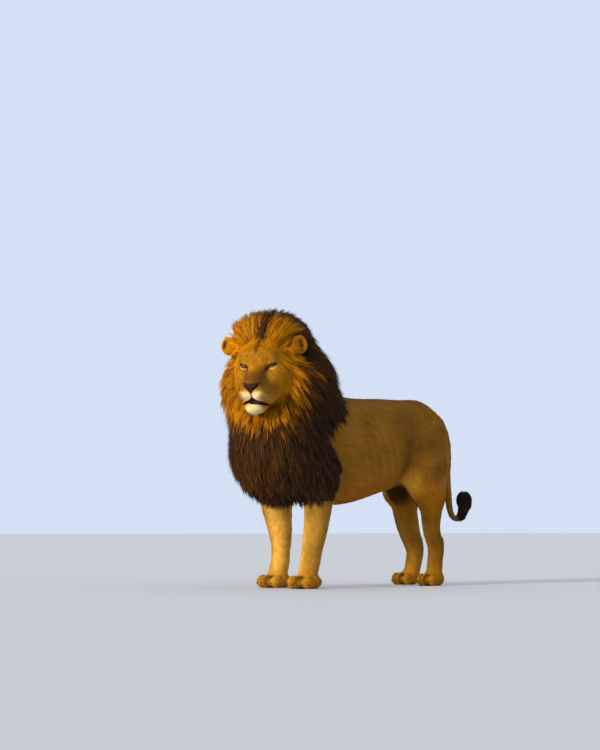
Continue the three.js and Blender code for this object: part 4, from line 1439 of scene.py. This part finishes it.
EAR_HAIRS = 520
draw = np.random.default_rng(41)
lines, ups = [], []
for s in SIDES:
    angle = np.radians(draw.uniform(-75, 75, EAR_HAIRS))
    reach = draw.uniform(22, 42, EAR_HAIRS)
    root = np.array([s * EAR_AT[0], 92, EAR_AT[2]]) + np.stack(
        [-s * reach * np.cos(angle), np.zeros(EAR_HAIRS), reach * np.sin(angle)], 1
    )
    root = to_head(drawn(skin_field, from_head(root)))
    length = draw.uniform(26, 56, EAR_HAIRS)[:, None]
    way = unit(np.array([s * 0.85, -0.30, 0.30]) + draw.normal(0, 0.16, (EAR_HAIRS, 3)))
    t = np.linspace(0, 1, 5)[None, :, None]
    path = root[:, None] + length[:, None] * (way[:, None] * t + np.array([0, 0.30, -0.10]) * t * t)
    lines.append(path @ HEAD_TURN.T + EYES_AT)
    ups.append(np.tile(HEAD_TURN @ np.array([0, -1.0, 0]), (EAR_HAIRS, 1)))
lines, ups = np.concatenate(lines), np.concatenate(ups)
tints = np.array(MANE_GOLD) * draw.uniform(0.75, 1.2, (len(lines), 1))
tints[: len(tints) // 2] *= 0.6  # painted shade and light: the left ear's are darker, the right ear's lighter
tints[len(tints) // 2 :] *= 1.2
widths = draw.uniform(1.6, 2.6, len(lines))[:, None] * STRAND_SHAPE
made = locks("ear_hair", lines, widths, ups, shades(tints, (0.7, 0.85, 1, 1, 1)), mane_material)
put(made, "ear_coat")

# ---- the tail's tuft

TUFT_STRANDS, FOOT_STRANDS, BROWN_SHARE = 2000, 700, 0.2
draw = np.random.default_rng(44)
turn_at = draw.uniform(0, 2 * np.pi, TUFT_STRANDS)
level = draw.uniform(0.35, 1.0, TUFT_STRANDS) ** 0.6
first = draw.uniform(0.35, 0.9, TUFT_STRANDS) * np.pi
last = first - draw.uniform(0.5, 0.8, TUFT_STRANDS) * np.pi
last = np.maximum(last, draw.uniform(0.02, 0.2, TUFT_STRANDS) * np.pi)
s = np.linspace(0, 1, 5)[None]
polar = first[:, None] + (last - first)[:, None] * s
spin = turn_at[:, None] + 0.25 * s * draw.normal(0, 1, (TUFT_STRANDS, 1))
out = level[:, None] * np.minimum(1, 0.7 + 0.8 * s) * (1 + 0.06 * draw.normal(0, 1, (TUFT_STRANDS, 1)) * s)
out = out * (1 + 0.16 * np.exp(-((polar / 0.5) ** 2)))
ball = np.stack([np.sin(polar) * np.cos(spin), np.sin(polar) * np.sin(spin), np.cos(polar)], 2)
lines = TUFT_AT + ball * out[..., None] * TUFT_RADII
lean = np.clip((TUFT_AT[2] - lines[..., 2]) / 60, 0, 1.2)
lines[..., 1] -= 14 * lean**2
ups = np.stack([np.cos(turn_at), np.sin(turn_at), np.zeros(TUFT_STRANDS)], 1)


def foot_density(p):
    """On the tuft's narrow foot, between the tail's hook and the ball."""
    return smooth(p[:, 1], 712, 730) * (1 - smooth(p[:, 2], 440, 456))


def up_the_tuft(p):
    return unit(TUFT_AT + (0, 0, 60) - p)


anchors = scattered(skin_points, skin_triangles, foot_density, FOOT_STRANDS, draw)
lengths = draw.uniform(34, 64, FOOT_STRANDS)
foot_lines = flowing(anchors, lengths, lambda s: 1 + 7 * s, skin_field, up_the_tuft, 4)
lines = np.concatenate([lines, foot_lines])
ups = np.concatenate([ups, unit(gradient(skin_field, anchors))])
count = TUFT_STRANDS + FOOT_STRANDS
brown = (draw.uniform(size=count) < BROWN_SHARE)[:, None]
tints = np.where(brown, np.array(MANE_BROWN) * 0.5, np.array(MANE_BLACK)) * draw.uniform(0.7, 1.3, (count, 1))
widths = draw.uniform(2.2, 3.4, count)[:, None] * STRAND_SHAPE
made = locks("tail_tuft_hair", lines, widths, ups, shades(tints, (0.8, 1, 1, 1.1, 1.2)), mane_material)
put(made, "tail_tuft", "tail_tuft")

# ---- the eyes

IRIS_SPOKES, IRIS_RINGS = 9.0, 260.0  # how closely the iris is streaked round and across
IRIS = (
    (0.0, (0.002, 0.002, 0.002)), (0.18, (0.002, 0.002, 0.002)), (0.22, (0.24, 0.10, 0.005)),
    (0.38, (0.42, 0.20, 0.010)), (0.52, (0.22, 0.09, 0.005)), (0.60, (0.012, 0.007, 0.005)),
    (0.74, (0.05, 0.03, 0.02)), (1.0, (0.08, 0.04, 0.03)),
)  # the eye's colours, each from a distance to its middle in parts of its radius


def eye_material():
    """An amber iris with streaks from a round pupil, a dark ring and a dark white, under a wet clear coat."""
    made = Nodes("wet_eye")
    place = made.add("SeparateXYZ", "X", made.add("TexCoord", "Object")).node.outputs
    flat = made.add("CombineXYZ", "Vector", place["X"], place["Y"])
    away = made.add("VectorMath", "Value", flat, operation="LENGTH")
    angle = made.add("Math", "Value", place["Y"], place["X"], operation="ARCTAN2")
    spokes = made.add("Math", "Value", angle, IRIS_SPOKES, operation="MULTIPLY")
    rings = made.add("Math", "Value", away, IRIS_RINGS, operation="MULTIPLY")
    wheel = made.add("CombineXYZ", "Vector", spokes, rings)
    streaks = made.add("TexNoise", "Fac", Vector=wheel, Scale=1.0, Detail=4.0, Roughness=0.65)
    part = made.add("Math", "Value", away, EYE_RADIUS * MM, operation="DIVIDE")
    colour = made.add("ValToRGB", "Color", part)
    stops = colour.node.color_ramp.elements
    while len(stops) < len(IRIS):
        stops.new(0.5)
    for stop, (at, shade) in zip(stops, IRIS):
        stop.position, stop.color = at, (*shade, 1)
    return made.shade(
        Base_Color=made.streaked(colour, streaks, 0.35), Roughness=0.3, Coat_Weight=0.12, Coat_Roughness=0.08,
        Specular_IOR_Level=0.1,
    )


def eyeball(side):
    """A ball with a clear bulge over its iris. Its own Z axis is the gaze."""
    ball = bmesh.new()
    bmesh.ops.create_uvsphere(ball, u_segments=40, v_segments=28, radius=1)
    for vertex in ball.verts:
        vertex.co.z += 0.07 * bump(math.hypot(vertex.co.x, vertex.co.y), 0.5) * (vertex.co.z > 0)
        vertex.co *= EYE_RADIUS * MM
    name = "left" if side > 0 else "right"
    mesh = bpy.data.meshes.new(f"eyeball_{name}")
    ball.to_mesh(mesh)
    ball.free()
    mesh.polygons.foreach_set("use_smooth", np.ones(len(mesh.polygons), bool))
    mesh.materials.append(wet_eye)
    made = linked(f"eyeball_{name}", mesh)
    gaze = HEAD_TURN @ GAZE[side]
    across = unit(np.cross([0, 0, 1.0], gaze))
    matrix = np.eye(4)
    matrix[:3, :3] = np.stack([across, np.cross(gaze, across), gaze], 1)
    matrix[:3, 3] = to_row(from_head(EYE_AT[side]))
    made.matrix_world = Matrix(matrix.tolist())
    put(made, "eye", f"eye_{name}")


wet_eye = eye_material()
for side in SIDES:
    eyeball(side)

# ---- whiskers and claws

WHISKER_COLOUR, CLAW_COLOUR = (0.36, 0.20, 0.05), (0.05, 0.035, 0.025)
draw = np.random.default_rng(55)
t = np.linspace(0, 1, 5)[:, None]


def hard_hairs(name, lines, widths, up, colour, slot):
    """Whiskers or claws: locks of one colour that take the light nearly as the surface under them does."""
    lines = np.array(lines)
    count = len(lines)
    ups, colours = np.tile(up, (count, 1)), np.full((count, 5, 3), colour)
    put(locks(name, lines, np.tile(widths, (count, 1)), ups, colours, mane_material, 0.8), slot)


lines = []
for s in SIDES:
    for root in whisker_roots(s):
        start = from_head([root[0], -240, root[2]])
        into = HEAD_TURN @ np.array([0, 1.0, 0])
        for _ in range(40):
            start = start + into * 0.8 * skin_field(start[None])[0]
        way = unit(np.array([s * 1.0, -0.15, -0.12 + draw.normal(0, 0.10)]))
        length = draw.uniform(40, 74)
        lines.append(start + length * (way * t + np.array([0.0, 0.45, -0.35]) * t * t) @ HEAD_TURN.T)
hard_hairs("whiskers", lines, 0.7 * STRAND_SHAPE, HEAD_TURN @ [0, 0, 1.0], WHISKER_COLOUR, "pale_coat")

lines = []
for side, y, size in PAWS:
    for at, toe in toes_of(side, y, **size):
        start = at + [0, -size["length"] * 0.21 * toe + 5, -5]
        lines.append(start + np.array([0, -11.0, -3]) * t + np.array([0, 0, -8.0]) * t * t)
hard_hairs("claws", lines, [5.5, 5.0, 4.0, 2.5], [0, 0, 1.0], CLAW_COLOUR, "nose_leather")

# ---- stage, light and camera

FLOOR_SIZE, FLOOR_COLOUR = 160, (0.60, 0.59, 0.57, 1)
SKY_COLOUR, SKY_STRENGTH = (0.72, 0.81, 0.98, 1), 0.92
SUN_COLOUR, SUN_STRENGTH, SUN_SOFTNESS = (1.0, 0.88, 0.70), 3.7, 12
SUN_AZIMUTH, SUN_ELEVATION = 4, 14  # degrees: azimuth 0 is in front of the lion's chest and 90 at its left

mesh = bpy.data.meshes.new("floor")
h = FLOOR_SIZE / 2
mesh.from_pydata([(-h, -h, 0), (h, -h, 0), (h, h, 0), (-h, h, 0)], [], [(0, 1, 2, 3)])
mesh.materials.append(Nodes("pale_floor").shade(Base_Color=FLOOR_COLOUR, Roughness=0.85))
linked("floor", mesh)

world = bpy.data.worlds.new("studio")
world.use_nodes = True
sky = world.node_tree.nodes["Background"].inputs
sky["Color"].default_value, sky["Strength"].default_value = SKY_COLOUR, SKY_STRENGTH
bpy.context.scene.world = world

sun = bpy.data.lights.new("key", "SUN")
sun.energy, sun.angle, sun.color = SUN_STRENGTH, math.radians(SUN_SOFTNESS), SUN_COLOUR
linked("key", sun).rotation_euler = (math.radians(90 - SUN_ELEVATION), 0, math.radians(SUN_AZIMUTH))

CAMERA_AZIMUTH, CAMERA_PITCH = 51.72, 4.37  # degrees
CAMERA_AT = np.array([8426.0, -7073.0, 320.0])
camera_data = bpy.data.cameras.new("camera")
camera_data.lens, camera_data.sensor_width = 96, 36
camera = linked("camera", camera_data)
camera.location = to_row(CAMERA_AT)
camera.rotation_euler = (math.radians(90 + CAMERA_PITCH), 0, math.radians(CAMERA_AZIMUTH))
bpy.context.scene.camera = camera
bpy.context.scene.view_settings.view_transform = "Standard"
